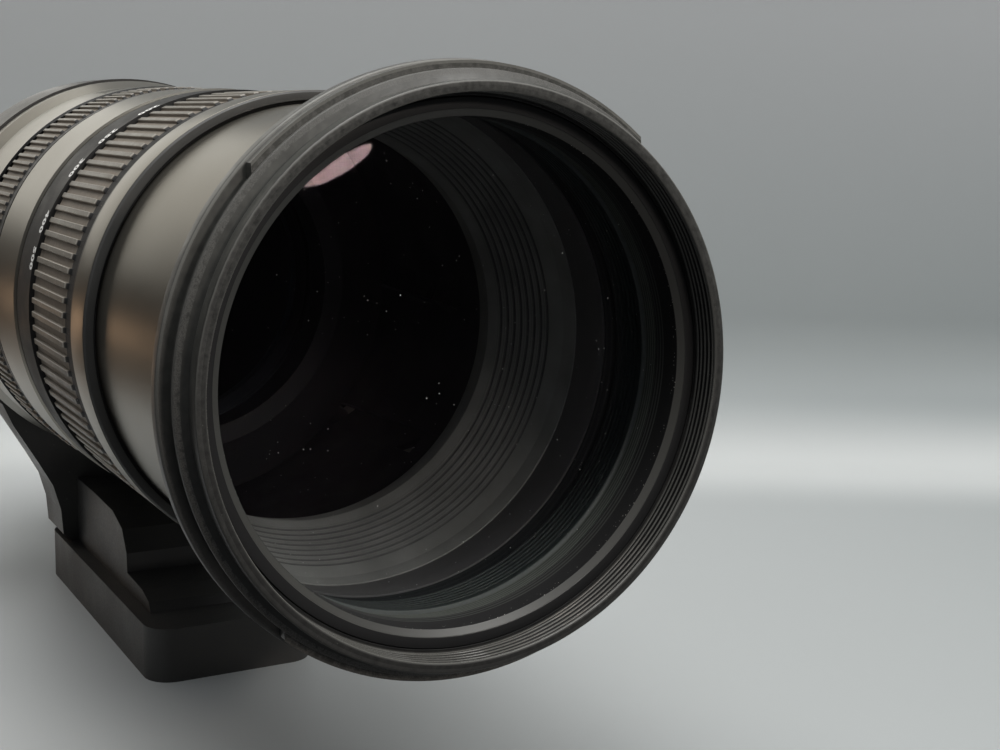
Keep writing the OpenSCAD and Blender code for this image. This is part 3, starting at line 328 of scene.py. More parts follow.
def rimFinish(values):
    # the front rim: matt black, rubbed, scuffed and dusty, with painted light and shade
    material, tree = startFinish("rimLacquer")
    spot = place(tree, axisPlace)
    station, radius = spot[:2]

    def band(value, limits, soft, ragged):
        return effect(tree, wornBand, Value=value, Low=limits[0], High=limits[1], Soft=soft,
                      Ragged=ragged)

    fine = effect(tree, grain, Size=0.18)
    lines = effect(tree, turnedLines, Lines=9.0, Streak=5.0)
    patches = effect(tree, clouds, Size=5.0)
    powder = effect(tree, clouds, Size=1.6, Low=0.25)
    specks = effect(tree, dust, Spacing=0.9, Dot=0.09)
    marks = effect(tree, scratches, Fine=0.07, Long=3.5, Share=0.45)
    rubbed = times(band(station, values["ridge"], 0.12, 1.6), above(radius, values["ridgeRadius"]))
    for part in (times(band(radius, values["flange"], 0.1, 0.8), 0.45),
                 times(band(station, values["lip"], 0.1, 0.9), 0.15)):
        rubbed = mathStep("MAXIMUM", rubbed, part)
    rubbed = times(rubbed, spread(fine, 0.3, 0.6))
    # painted light from above: the rim turns paler the higher it lies, partly dust, partly the
    # light on its top
    paintedTopLight = spread(splitVector(spot["Place"])[2], *values["topLightHeights"], 0.3, 1.0)
    dustAndTopLight = times(above(radius, values["outsideRadius"]),
                  spread(station, *values["cleanFrom"], 1.0, 0.0), paintedTopLight,
                  spread(powder, 0.0, 1.0, 0.5, 1.0))
    # painted shade over the whole thread, with painted glints on its crests and along the crest
    # line
    ahead = above(station, values["threadBack"])
    crestGlints = times(below(radius, values["crestRadius"]), ahead)
    threadShade = times(below(radius, values["rootRadius"]), ahead)
    # painted highlights: pale lines along the flange, tab and lip edges, stronger high up
    edges = [(times(band(station, (start, end), 0.04, 0.12), above(radius, least), paintedTopLight),
              values["edge"], 0.4) for start, end, least in values["edges"]]
    colour = coat(blendColour(patches, values["dark"], values["light"]),
                  (dustAndTopLight, values["dustAndTopLight"]), (rubbed, values["worn"], 0.75),
                  (threadShade, values["root"]), (crestGlints, values["crest"]), *edges,
                  (band(radius, values["crestLine"], 0.03, 0.1), values["worn"], 0.35),
                  (marks, values["worn"], 0.18), (specks, values["worn"], 0.65))
    rough = spread(addHeights((fine, 0.35), (patches, 0.35), (rubbed, 0.3)), 0.15, 0.7,
                   values["roughLow"], values["roughHigh"])
    rough = addHeights((rough, 1.0), (crestGlints, -0.3), (threadShade, 0.2))
    height = addHeights((fine, 0.8), (lines, 0.7), (rubbed, -0.5), (specks, 0.8))
    return closeFinish(material, colour, rough, height, 0.22, 0.04)


# the chamfer colour is a painted highlight
retainerValues = {"band": (0.011, 0.0115, 0.0125), "chamferHighlight": (0.065, 0.065, 0.06),
                  "bore": (0.003, 0.003, 0.0035), "lined": (0.05, 0.053, 0.049),
                  "debris": (0.55, 0.54, 0.5), "chamferRadii": (39.06, 40.12),
                  "debrisStations": (244.6, 246.2), "linedEnd": 242.6, "lineStep": 0.75,
                  "roughLow": 0.22, "roughHigh": 0.85}


def retainerFinish(values):
    # retaining ring: matt front face, glossier chamfer painted pale as a highlight, then a dead
    # black bore with dust
    material, tree = startFinish("retainerBlack")
    station, radius = place(tree, axisPlace)[:2]
    inner, outer = values["chamferRadii"]
    fine = effect(tree, grain, Size=0.16)
    lines = effect(tree, turnedLines, Lines=11.0)
    specks = effect(tree, dust, Spacing=0.55, Dot=0.16, Share=0.5)
    # painted highlight: the chamfer is coloured paler than the face round it
    chamferHighlight = effect(tree, wornBand, Value=radius, Low=inner, High=outer, Soft=0.02, Ragged=0.03)
    bore = below(radius, inner)
    wave = mathStep("SINE", times(station, 2 * math.pi / values["lineStep"]))
    lined = times(below(station, values["linedEnd"]), spread(wave, -0.6, 0.6), bore)
    debris = times(specks, bore, spread(station, *values["debrisStations"]))
    colour = coat(blendColour(chamferHighlight, values["band"], values["chamferHighlight"]),
                  (bore, values["bore"]), (lined, values["lined"]), (debris, values["debris"]))
    rough = spread(addHeights((lines, 0.3), (bore, 0.8), (chamferHighlight, -0.25)), -0.4, 0.9,
                   values["roughLow"], values["roughHigh"])
    height = addHeights((lines, 0.6), (fine, 0.5), (debris, 1.5))
    return closeFinish(material, colour, rough, height, 0.25, 0.04)


# the edge colour is a painted highlight, and the floor colour is paler than the tops as painted
# light
rubberValues = {"top": (0.15, 0.139, 0.118), "floor": (0.19, 0.163, 0.133),
                "edge": (0.40, 0.38, 0.34), "plain": (0.008, 0.008, 0.0085),
                "dust": (0.28, 0.245, 0.20), "floorRadius": 42.80, "topRadius": 43.39,
                "ribStart": 149.2, "ribEnd": 174.5, "roughLow": 0.36, "roughHigh": 0.78}


def rubberFinish(name, values):
    # ribbed grip: grey rib tops with painted edge highlights, brownish dust and painted light
    # between them
    material, tree = startFinish(name)
    station, radius = place(tree, axisPlace)[:2]
    raised = spread(radius, values["floorRadius"], values["topRadius"])
    fine = effect(tree, grain, Size=0.16)
    patches = effect(tree, clouds, Size=6.0)
    powder = times(effect(tree, clouds, Size=0.8, Low=0.45, High=0.75, Shift=4.0),
                   mathStep("SUBTRACT", 1.0, raised), 0.5)
    specks = effect(tree, dust, Spacing=1.1, Dot=0.1)
    # painted highlight: a pale line along each rib's edges
    edge = effect(tree, wornBand, Value=raised, Low=0.72, High=0.975, Soft=0.02, Ragged=0.12)
    ribbed = effect(tree, wornBand, Value=station, Low=values["ribStart"], High=values["ribEnd"],
                    Soft=0.12, Ragged=0.2)
    # painted light: the floor between ribs is paler than the tops to lift its shade, and dust lies
    # on it
    colour = coat(blendColour(raised, values["floor"], values["top"]),
                  (edge, values["edge"], 0.8), (powder, values["dust"]),
                  (patches, values["floor"], 0.2))
    colour = coat(blendColour(ribbed, values["plain"], colour), (specks, values["dust"], 0.6))
    rough = spread(addHeights((raised, -0.6), (fine, 0.4), (patches, 0.3)), -0.5, 0.6,
                   values["roughLow"], values["roughHigh"])
    return closeFinish(material, colour, rough, addHeights((fine, 1.0), (powder, 0.6)), 0.3)


# the groove colour is painted shade
grooveValues = {"dark": (0.25, 0.25, 0.225), "light": (0.35, 0.35, 0.315),
                "groove": (0.075, 0.075, 0.07), "speck": (0.5, 0.5, 0.48),
                "first": 199.6, "run": 8.4, "count": 8}


def baffleFinish(values):
    # matt grey light baffle, with painted shade in its grooves and a fainter dark line between
    # them
    material, tree = startFinish("baffleGrey", Roughness=0.8)
    station = place(tree, axisPlace)["Station"]
    fine = effect(tree, grain, Size=0.2)
    patches = effect(tree, clouds, Size=7.0)
    specks = effect(tree, dust, Spacing=1.6, Dot=0.07, Share=0.25)
    phase = mathStep("FRACT", times(mathStep("SUBTRACT", values["first"], station),
                                    values["count"] / values["run"]))
    # painted shade in the grooves, and a fainter dark line between them
    groove = effect(tree, wornBand, Value=phase, Low=0.27, High=0.41, Soft=0.05, Ragged=0.03)
    line = effect(tree, wornBand, Value=phase, Low=0.60, High=0.68, Soft=0.03, Ragged=0.03)
    inside = times(below(station, values["first"]),
                   above(station, values["first"] - values["run"]))
    grooveShade = times(mathStep("MAXIMUM", groove, times(line, 0.4)), inside)
    colour = coat(blendColour(patches, values["dark"], values["light"]),
                  (grooveShade, values["groove"]), (specks, values["speck"], 0.5))
    return closeFinish(material, colour, spread(fine, 0.3, 0.7, 0.62, 0.85), fine, 0.3)


cellWallValues = {"wall": (0.115, 0.112, 0.106), "ahead": (0.016, 0.021, 0.021),
                  "aheadFrom": 215.5, "edge": (0.13, 0.14, 0.135), "edgeStart": 231.4,
                  "speck": (0.4, 0.4, 0.38)}


def cellFinish(values):
    # the front group's cell: dull wall behind, near black ahead of it, paler seat edge
    material, tree = startFinish("cellWall")
    station = place(tree, axisPlace)["Station"]
    middle, seat = values["aheadFrom"], values["edgeStart"]
    fine = effect(tree, grain, Size=0.25)
    lines = effect(tree, turnedLines, Lines=10.0, Streak=2.0)
    specks = effect(tree, dust, Spacing=1.1, Dot=0.07)
    colour = coat(values["wall"],
                  (spread(station, middle - 0.6, middle + 0.6, smooth=True), values["ahead"]),
                  (spread(station, seat - 0.05, seat + 0.05), values["edge"]),
                  (specks, values["speck"], 0.5))
    rough = spread(addHeights((fine, 0.5), (lines, 0.5)), 0.3, 0.7, 0.4, 0.6)
    return closeFinish(material, colour, rough, addHeights((fine, 0.5), (lines, 1.0)), 0.15)


def glassFinish(name, tint, reflection, ior=1.52):
    # clear coated glass: light passes to what lies behind, and the coating cuts the reflection
    material, tree = startFinish(name, Roughness=0.0, IOR=ior, Transmission_Weight=1.0,
                                 Specular_Tint=reflection)
    smear = effect(tree, clouds, Size=16.0, Low=0.35, High=0.75)
    specks = effect(tree, dust, Spacing=2.3, Dot=0.03, Share=0.25)
    closeFinish(material, tint, times(specks, 0.4), smear, 0.002, 0.01)
    rays = tree.nodes.new("ShaderNodeLightPath").outputs
    return letThrough(material, mathStep("MAXIMUM", rays["Is Shadow Ray"],
                                         rays["Is Diffuse Ray"]), tint)


def glassEdgeFinish(name, dark, light, pitch):
    # ground and blacked edge of a lens element, finely ringed
    material, tree = startFinish(name, Specular_IOR_Level=0.15)
    station = place(tree, axisPlace)["Station"]
    ringed = spread(mathStep("SINE", times(station, 2 * math.pi / pitch)), -0.1, 0.95)
    lines = effect(tree, turnedLines, Lines=9.0, Streak=2.0)
    fine = effect(tree, grain, Size=0.2)
    colour = blendColour(addHeights((ringed, 0.7), (lines, 0.3)), dark, light)
    height = addHeights((ringed, 1.0), (lines, 0.4), (fine, 0.2))
    return closeFinish(material, colour, spread(fine, 0.3, 0.7, 0.6, 0.85), height, 0.4, 0.06)


def metalFinish(name, colour, roughLow, roughHigh, turned=True):
    # plated or plain machined metal, a little duller in patches
    material, tree = startFinish(name, Metallic=1.0)
    if turned:
        lines = effect(tree, turnedLines, Lines=12.0, Streak=1.5)
    else:
        lines = effect(tree, grain, Size=0.3)
    patches = effect(tree, clouds, Size=6.0)
    marks = effect(tree, scratches, Fine=0.08, Long=4.0, Share=0.35)
    duller = tuple(part * 0.85 for part in colour)
    base = coat(blendColour(patches, duller, colour), (marks, duller, 0.3))
    rough = spread(addHeights((lines, 0.6), (patches, 0.4)), 0.2, 0.8, roughLow, roughHigh)
    return closeFinish(material, base, rough, lines, 0.15, 0.02)


def paintFinish(name, dark, light, size=0.45, bump=0.4, roughLow=0.45, roughHigh=0.68):
    # painted casting or moulding with a fine pebbled skin
    material, tree = startFinish(name)
    fine, finer = effect(tree, grain, Size=size), effect(tree, grain, Size=size * 0.35)
    patches = effect(tree, clouds, Size=18.0)
    specks = effect(tree, dust, Spacing=2.2, Dot=0.06, Share=0.25)
    marks = effect(tree, scratches, Fine=0.12, Long=6.0, Share=0.25)
    worn = tuple(min(1.0, part * 4.0 + 0.03) for part in light)
    colour = coat(blendColour(patches, dark, light), (marks, worn, 0.35), (specks, worn, 0.5))
    rough = spread(addHeights((fine, 0.5), (patches, 0.5)), 0.25, 0.75, roughLow, roughHigh)
    return closeFinish(material, colour, rough, addHeights((fine, 1.0), (finer, 0.5)), bump, 0.05)


boardValues = {"mask": (0.012, 0.075, 0.035), "track": (0.05, 0.16, 0.06),
               "solder": (0.6, 0.55, 0.4), "coat": 0.4, "cells": 0.5}


def boardFinish(values):
    # green solder mask with copper tracks and points of solder
    material, tree = startFinish("boardGreen", Coat_Weight=values["coat"])
    where = place(tree, axisPlace)["Place"]
    cells = newNode("TexVoronoi", where)
    cells.feature = "DISTANCE_TO_EDGE"
    edges = fill(cells, Vector=where, Scale=values["cells"])["Distance"]
    tracks = spread(edges, 0.03, 0.05, 1.0, 0.0)
    specks = effect(tree, dust, Dot=0.18, Share=0.5)
    colour = coat(values["mask"], (tracks, values["track"]), (specks, values["solder"]))
    return closeFinish(material, colour, spread(tracks, 0.0, 1.0, 0.35, 0.5), tracks, 0.2)


feltValues = {"dark": (0.004, 0.004, 0.004), "light": (0.02, 0.02, 0.02), "sheen": 0.3}


def feltFinish(values):
    # black flock of the dust seal
    material, tree = startFinish("sealFelt", Sheen_Weight=values["sheen"])
    fine = effect(tree, grain, Size=0.1)
    colour = blendColour(fine, values["dark"], values["light"])
    return closeFinish(material, colour, spread(fine, 0.3, 0.7, 0.85, 0.98), fine, 0.6, 0.05)


def markFinish(name, colour):
    # paint of the figures, chipped here and there
    material, tree = startFinish(name)
    fine = effect(tree, grain, Size=0.12)
    chips = effect(tree, clouds, Size=0.7, Low=0.62, High=0.72)
    chipped = blendColour(chips, colour, tuple(part * 0.6 for part in colour))
    return closeFinish(material, chipped, spread(fine, 0.3, 0.7, 0.45, 0.7), fine, 0.2, 0.01)


satin = satinFinish(satinValues)
lacquer = blackFinish("ringLacquer", blackValues)
darkCell = blackFinish("cellBlack", dict(blackValues, dark=(0.003, 0.003, 0.004),
                                         light=(0.006, 0.006, 0.007), worn=(0.03, 0.03, 0.03),
                                         roughLow=0.55, roughHigh=0.75))
noseFace = blackFinish("noseFace", dict(blackValues, dark=(0.006, 0.006, 0.0065),
                                        light=(0.012, 0.012, 0.0125), roughLow=0.38,
                                        roughHigh=0.55, aheadFrom=185.0,
                                        ahead=(0.055, 0.055, 0.053)))
rimBlack = rimFinish(rimValues)
retainerBlack = retainerFinish(retainerValues)
zoomRubber = rubberFinish("zoomRubber", rubberValues)
focusRubber = rubberFinish("focusRubber", dict(rubberValues, floorRadius=44.22, topRadius=44.79,
                                               ribStart=97.35, ribEnd=113.4))
zoomLand = blackFinish("zoomLand", dict(blackValues, dark=(0.006, 0.0062, 0.0065),
                                        light=(0.011, 0.011, 0.0115), worn=(0.08, 0.08, 0.075),
                                        roughLow=0.5, roughHigh=0.7))
baffleGrey = baffleFinish(grooveValues)
cellWall = cellFinish(cellWallValues)
frontCoat = glassFinish("frontCoat", (0.94, 0.955, 0.96), (0.10, 0.078, 0.088))
secondCoat = glassFinish("secondCoat", (0.93, 0.93, 0.95), (0.5, 0.3, 0.8), 1.045)
innerCoat = glassFinish("innerCoat", (0.80, 0.84, 0.88), (0.10, 0.16, 0.20))
clearWindow = glassFinish("clearWindow", (0.90, 0.93, 0.95), (1.0, 1.0, 1.0), 1.49)
frontEdge = glassEdgeFinish("frontGlassEdge", (0.035, 0.042, 0.038), (0.17, 0.175, 0.155), 1.6)
secondEdge = glassEdgeFinish("secondGlassEdge", (0.012, 0.014, 0.015), (0.03, 0.034, 0.034), 2.2)
plated = metalFinish("platedMount", (0.78, 0.77, 0.74), 0.16, 0.30)
steel = metalFinish("screwSteel", (0.52, 0.52, 0.52), 0.25, 0.4, turned=False)
gold = metalFinish("contactGold", (0.86, 0.62, 0.24), 0.2, 0.35, turned=False)
blackAluminium = metalFinish("innerAluminium", (0.035, 0.035, 0.036), 0.4, 0.55)
bronze = metalFinish("statorBronze", (0.62, 0.46, 0.25), 0.3, 0.45)
turnedSteel = metalFinish("rotorSteel", (0.58, 0.58, 0.58), 0.22, 0.36)
collarPaint = paintFinish("collarPaint", (0.019, 0.019, 0.019), (0.036, 0.035, 0.033),
                          roughLow=0.36, roughHigh=0.58)
knobBlack = paintFinish("knobBlack", (0.018, 0.018, 0.018), (0.03, 0.03, 0.03), size=0.25)
switchGrey = paintFinish("switchGrey", (0.07, 0.07, 0.07), (0.12, 0.12, 0.12), size=0.2, bump=0.2)
bladeFilm = paintFinish("bladeFilm", (0.014, 0.014, 0.015), (0.024, 0.024, 0.024), size=0.15,
                        bump=0.1)
scaleBlack = paintFinish("scaleBlack", (0.014, 0.014, 0.014), (0.022, 0.022, 0.022), size=0.2,
                         bump=0.1)
board = boardFinish(boardValues)
felt = feltFinish(feltValues)
whitePaint = markFinish("figureWhite", (0.86, 0.86, 0.84))

nodeFinishes = (
    (satin, "rear_barrel main_barrel window_barrel inner_barrel nose_ring"),
    (lacquer, "retaining_ring switch_panel focus_ring"), (rimBlack, "front_rim"),
    (zoomLand, "zoom_ring"), (zoomRubber, "zoom_grip"), (focusRubber, "focus_grip"),
    (felt, "dust_seal"), (plated, "mount_bayonet"), (gold, "contact_pins"),
    (steel, "mount_screws hinge_pin collar_screw foot_bush"),
    (knobBlack, "contact_block mount_baffle collar_knob"),
    (switchGrey, "zoom_lock af_switch stabiliser_switch"),
    (collarPaint, "collar_lower collar_upper"),
    (darkCell, "front_rollers guide_barrel cam_barrel rear_cell variator_cell compensator_cell"
               " focus_cell stabiliser_cell stabiliser_carriage iris_base"),
    (cellWall, "front_cell"), (baffleGrey, "light_baffle"), (frontCoat, "front_element"),
    (innerCoat, "second_element variator_glass compensator_glass focus_glass stabiliser_glass"
                " rear_glass"),
    (clearWindow, "distance_window"), (scaleBlack, "distance_scale"), (board, "main_board"),
    (blackAluminium, "focus_cam"), (bronze, "motor_stator"), (turnedSteel, "motor_rotor"))
finishOf = {name: finish for finish, names in nodeFinishes for name in names.split()}
for name, node in nodes.items():
    node.data.materials.clear()
    node.data.materials.append(finishOf.get(name, bladeFilm))    # the iris takes the film
print("finishes made and given to the nodes")


# Pieces: meshes whose outlines are (station, radius) in mm about the lens axis

def softenOutline(points, size, steps=3):
    # each corner of the closed outline gets a small arc
    rounded = []
    count = len(points)
    for index in range(count):
        before, here, after = (Vector(points[(index + step) % count]) for step in (-1, 0, 1))
        toBefore, toAfter = before - here, after - here
        reach = min(size, toBefore.length * 0.45, toAfter.length * 0.45)
        if reach < 0.004 or toBefore.angle(-toAfter) < math.radians(12):
            rounded.append(tuple(here))
            continue
        first, last = here + toBefore.normalized() * reach, here + toAfter.normalized() * reach
        for step in range(steps + 1):
            t = step / steps
            rounded.append(tuple(first * (1 - t) ** 2 + here * 2 * t * (1 - t) + last * t ** 2))
    return rounded


def addRing(form, station, spots):
    return [form.verts.new((station * mm, radius * mm * math.cos(turn),
                            radius * mm * math.sin(turn))) for radius, turn in spots]


def joinRings(form, rings):
    # skin from each ring to the next and round again; a ring of one point is a pole
    for ring, after in zip(rings, rings[1:] + rings[:1]):
        count = max(len(ring), len(after))
        if count == 1:
            continue
        for step in range(count):
            corners = [ring[step % len(ring)], ring[(step + 1) % len(ring)],
                       after[(step + 1) % len(after)], after[step % len(after)]]
            corners = list(dict.fromkeys(corners))
            if len(corners) > 2:
                form.faces.new(corners)
    bmesh.ops.recalc_face_normals(form, faces=form.faces)


def meshFrom(form, name):
    mesh = bpy.data.meshes.new(name)
    form.to_mesh(mesh)
    form.free()
    return mesh


def finishPiece(mesh, name, body, finish, replaced, sharp=32.0):
    for polygon in mesh.polygons:
        polygon.use_smooth = True
    mesh.set_sharp_from_angle(angle=math.radians(sharp))
    mesh.materials.append(finish)
    piece = bpy.data.objects.new(name, mesh)
    bpy.context.scene.collection.objects.link(piece)
    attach(piece, body)
    if replaced:
        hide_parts(*replaced)
    return piece


def turnPiece(name, body, finish, outline, replaced, soften, segments=288,
              other=None, where=None):
    points = softenOutline(outline, soften) if soften else outline
    turns = [2 * math.pi * step / segments for step in range(segments)]
    form = bmesh.new()
    rings = []
    for station, radius in points:
        if radius < 1e-4:
            rings.append([form.verts.new((station * mm, 0, 0))])
        else:
            rings.append(addRing(form, station, [(radius, turn) for turn in turns]))
    joinRings(form, rings)
    mesh = meshFrom(form, name)
    piece = finishPiece(mesh, name, body, finish, replaced)
    if other:
        mesh.materials.append(other)
        for polygon in mesh.polygons:
            middle = polygon.center
            if where(middle.x / mm, math.hypot(middle.y, middle.z) / mm):
                polygon.material_index = 1
    return piece


# Front glasses, smooth, with finely ringed edges
frontGlass = {"back": 232.0, "radius": 39.33, "vertex": 244.487, "curve": 170.0}
secondGlass = {"back": 215.0, "radius": 39.03, "vertex": 224.0, "curve": 200.0}


def lensOutline(values, steps=24):
    centre = values["vertex"] - values["curve"]
    outline = [(values["back"], 0.0), (values["back"], values["radius"])]
    for step in range(steps, -1, -1):
        radius = values["radius"] * step / steps
        outline.append((centre + math.sqrt(values["curve"] ** 2 - radius ** 2), radius))
    return outline


turnPiece("frontGlass", "front", frontCoat, lensOutline(frontGlass),
          ("front_element",), 0.0, other=frontEdge,
          where=lambda station, radius: radius > frontGlass["radius"] - 0.1)
turnPiece("secondGlass", "front", secondCoat, lensOutline(secondGlass),
          ("second_element",), 0.0, other=secondEdge,
          where=lambda station, radius: radius > secondGlass["radius"] - 0.1)

# Front group's cell: six grooves ahead of its smooth wall
cellShape = {"back": 205.0, "front": 240.0, "outer": 39.69, "bore": 38.7, "seat": 39.39,
             "shelf": 232.0, "relief": 39.09, "reliefBack": 215.0, "reliefFront": 221.0,
             "grooveStart": 221.5, "groovePitch": 1.5, "grooveWidth": 0.6, "grooveDepth": 0.39,
             "grooves": 6}


def cellOutline(values):
    bore = values["bore"]
    deep = bore + values["grooveDepth"]
    outline = [(values["back"], values["outer"]), (values["front"], values["outer"]),
               (values["front"], values["seat"]), (values["shelf"], values["seat"]),
               (values["shelf"], bore)]
    for groove in range(values["grooves"] - 1, -1, -1):
        start = values["grooveStart"] + groove * values["groovePitch"]
        end = start + values["grooveWidth"]
        outline += [(end, bore), (end, deep), (start, deep), (start, bore)]
    outline += [(values["reliefFront"], bore), (values["reliefFront"], values["relief"]),
                (values["reliefBack"], values["relief"]), (values["reliefBack"], bore),
                (values["back"], bore)]
    return outline


turnPiece("frontCellRing", "front", cellWall, cellOutline(cellShape),
          ("front_cell",), 0.06)

# Light baffle: a grooved funnel
baffleShape = {"back": 187.0, "front": 205.0, "outer": 39.69, "wide": 38.49, "landEnd": 202.0,
               "landRadius": 37.89, "narrow": 30.93, "tail": 190.07, "backRadius": 31.09,
               "grooves": 8, "depth": 0.5, "grooveStart": 199.6, "grooveEnd": 191.2,
               "profile": ((0.04, 0.0), (0.08, 1.0), (0.34, 1.0), (0.40, 0.0))}


def baffleOutline(values):
    outline = [(values["back"], values["outer"]), (values["front"], values["outer"]),
               (values["front"], values["wide"]), (values["landEnd"], values["landRadius"])]
    slope = (values["landRadius"] - values["narrow"]) / (values["landEnd"] - values["tail"])
    pitch = (values["grooveStart"] - values["grooveEnd"]) / values["grooves"]
    for groove in range(values["grooves"]):
        for share, deep in values["profile"]:
            station = values["grooveStart"] - pitch * (groove + share)
            radius = values["landRadius"] - slope * (values["landEnd"] - station)
            outline.append((station, radius + deep * values["depth"]))
    outline += [(values["tail"], values["narrow"]), (values["back"], values["backRadius"])]
    return outline


turnPiece("funnelBaffle", "front", baffleGrey, baffleOutline(baffleShape),
          ("light_baffle",), 0.05)

# Moving barrel
barrelOutline = [(88.0, 40.98), (240.0, 40.98), (240.0, 39.7), (88.0, 39.7)]
turnPiece("movingBarrel", "front", satin, barrelOutline, ("inner_barrel",), 0.15,
          segments=384)

# Retaining ring round the front glass: flat face, chamfer and deep bore
retainerOutline = [(240.05, 41.97), (245.8, 41.97), (245.8, 41.84), (246.9, 41.84),
                   (247.0, 41.78), (247.0, 40.12), (246.85, 40.08), (246.1, 39.02),
                   (245.6, 38.98), (240.6, 38.96), (240.05, 39.2)]
turnPiece("glassRetainer", "front", retainerBlack, retainerOutline,
          ("retaining_ring",), 0.04, segments=384)

# Nose ring ahead of the zoom grip: satin land, black face and back
noseOutline = [(181.0, 43.37), (189.15, 43.37), (189.25, 43.2), (189.35, 43.2), (189.6, 43.0),
               (189.6, 41.62), (188.6, 41.62), (188.6, 42.0), (186.2, 42.0), (186.2, 41.32),
               (178.4, 41.32), (178.4, 42.87), (180.5, 42.87), (180.75, 43.1)]
noseLand = {"back": 180.9, "front": 189.2, "radius": 42.8}
turnPiece("zoomNose", "zoom", satin, noseOutline, ("nose_ring",), 0.07,
          segments=384, other=noseFace,
          where=lambda station, radius: (not noseLand["back"] <= station <= noseLand["front"]
                                         or radius < noseLand["radius"]))
print("turned pieces made")

# Front rim: flange, tabs, ridge, hood groove, lip and a helical filter thread
rimShape = {"segments": 720, "pitch": 1.0, "threadStart": 247.2, "threadEnd": 251.5,
            "crest": 42.5, "root": 43.3, "shoulder": 45.2, "tabRadius": 46.85,
            "tabStations": (244.5, 247.0), "tabMiddles": (94.0, 274.0), "tabHalf": 44.0,
            "tabRamp": 2.0, "threadRow": 0.05, "threadRows": 94}
rimOutside = [(236.0, 41.06), (236.0, 42.55), (242.0, 43.1), (242.3, 43.3), (242.3, 47.1),
              (242.55, 47.34), (244.3, 47.34), (244.6, 47.04), (244.6, 45.2), (246.9, 45.2),
              (246.9, 45.89), (247.8, 45.89), (248.4, 43.72), (249.0, 43.72), (249.4, 44.19),
              (251.8, 44.19), (251.98, 43.95), (251.98, 42.75), (251.75, 42.5)]
rimEnd = [(247.0, 42.5), (247.0, 41.99), (240.0, 41.99), (240.0, 41.06)]


def threadRadius(station, turn, values):
    if not values["threadStart"] <= station <= values["threadEnd"]:
        return values["crest"]
    phase = (station / values["pitch"] - turn / (2 * math.pi)) % 1.0
    wave = abs(phase * 2 - 1)                       # 0 at the root, 1 at the crest
    deep = min(1.0, max(0.0, 1.12 - wave * 1.5))
    fade = min(1.0, (station - values["threadStart"]) / 0.3, (values["threadEnd"] - station) / 0.3)
    return values["crest"] + (values["root"] - values["crest"]) * deep * fade


def tabShare(turn, values):
    # how far the bayonet tabs stand at this angle: one at the top, one below
    best = 0.0
    for middle in values["tabMiddles"]:
        away = abs((math.degrees(turn) - middle + 180) % 360 - 180)
        best = max(best, min(1.0, max(0.0, (values["tabHalf"] + values["tabRamp"] / 2 - away)
                                      / values["tabRamp"])))
    return best


def rimRadius(station, radius, turn, values):
    if radius is None:
        return threadRadius(station, turn, values)
    tabBack, tabFront = values["tabStations"]
    if abs(radius - values["shoulder"]) < 0.17 and tabBack < station < tabFront:
        return radius + (values["tabRadius"] - values["shoulder"]) * tabShare(turn, values)
    return radius


def makeFrontRim(values):
    lip = rimOutside[-1][0]
    outline = softenOutline(rimOutside, 0.16)
    outline += [(lip - values["threadRow"] * row, None)
                for row in range(1, values["threadRows"] + 1)]
    outline += softenOutline(rimEnd, 0.06)
    turns = [2 * math.pi * step / values["segments"] for step in range(values["segments"])]
    form = bmesh.new()
    joinRings(form, [addRing(form, station, [(rimRadius(station, radius, turn, values), turn)
                                             for turn in turns]) for station, radius in outline])
    return finishPiece(meshFrom(form, "threadedRim"), "threadedRim", "front", rimBlack,
                       ("front_rim",))


makeFrontRim(rimShape)
print("front rim made")

# Ribbed rubber grips, each rib a bar with sloping ends
zoomRibs = {"name": "zoomRibs", "body": "zoom", "node": "zoom_grip", "start": 149.5, "end": 178.4,
            "floor": 42.78, "top": 43.4, "inner": 42.37, "count": 102, "rearPlain": 0.3,
            "frontPlain": 3.1, "rearSlope": 0.35, "frontSlope": 1.25}
focusRibs = {"name": "focusRibs", "body": "focus", "node": "focus_grip", "start": 97.0,
             "end": 114.5, "floor": 44.2, "top": 44.8, "inner": 43.76, "count": 142,
             "rearPlain": 0.3, "frontPlain": 0.5, "rearSlope": 0.4, "frontSlope": 0.8}
ribSides = [(-0.5, 0.0), (-0.235, 0.0), (-0.22, 0.06), (-0.205, 0.62), (-0.185, 0.90),
            (-0.155, 1.0), (0.0, 1.0), (0.155, 1.0), (0.185, 0.90), (0.205, 0.62),
            (0.22, 0.06), (0.235, 0.0)]          # (share of the pitch, height)
sleeveEdge = {"width": 0.12, "drop": 0.1}


def ribRows(values):
    # along a rib: (station, height of the sleeve's edge, height of the rib)
    start, end, edge = values["start"], values["end"], sleeveEdge["width"]
    rear, front = start + values["rearPlain"], end - values["frontPlain"]
    rearSlope, frontSlope = values["rearSlope"], values["frontSlope"]
    return [(start, 0.0, 0.0), (start + edge, 1.0, 0.0), (rear, 1.0, 0.0),
            (rear + rearSlope * 0.3, 1.0, 0.4), (rear + rearSlope, 1.0, 0.95),
            (rear + rearSlope + 0.15, 1.0, 1.0), (start * 0.5 + end * 0.5, 1.0, 1.0),
            (front - frontSlope - 0.15, 1.0, 1.0), (front - frontSlope, 1.0, 0.96),
            (front - frontSlope * 0.5, 1.0, 0.5), (front - 0.1, 1.0, 0.08), (front, 1.0, 0.0),
            (end - edge, 1.0, 0.0), (end, 0.0, 0.0)]


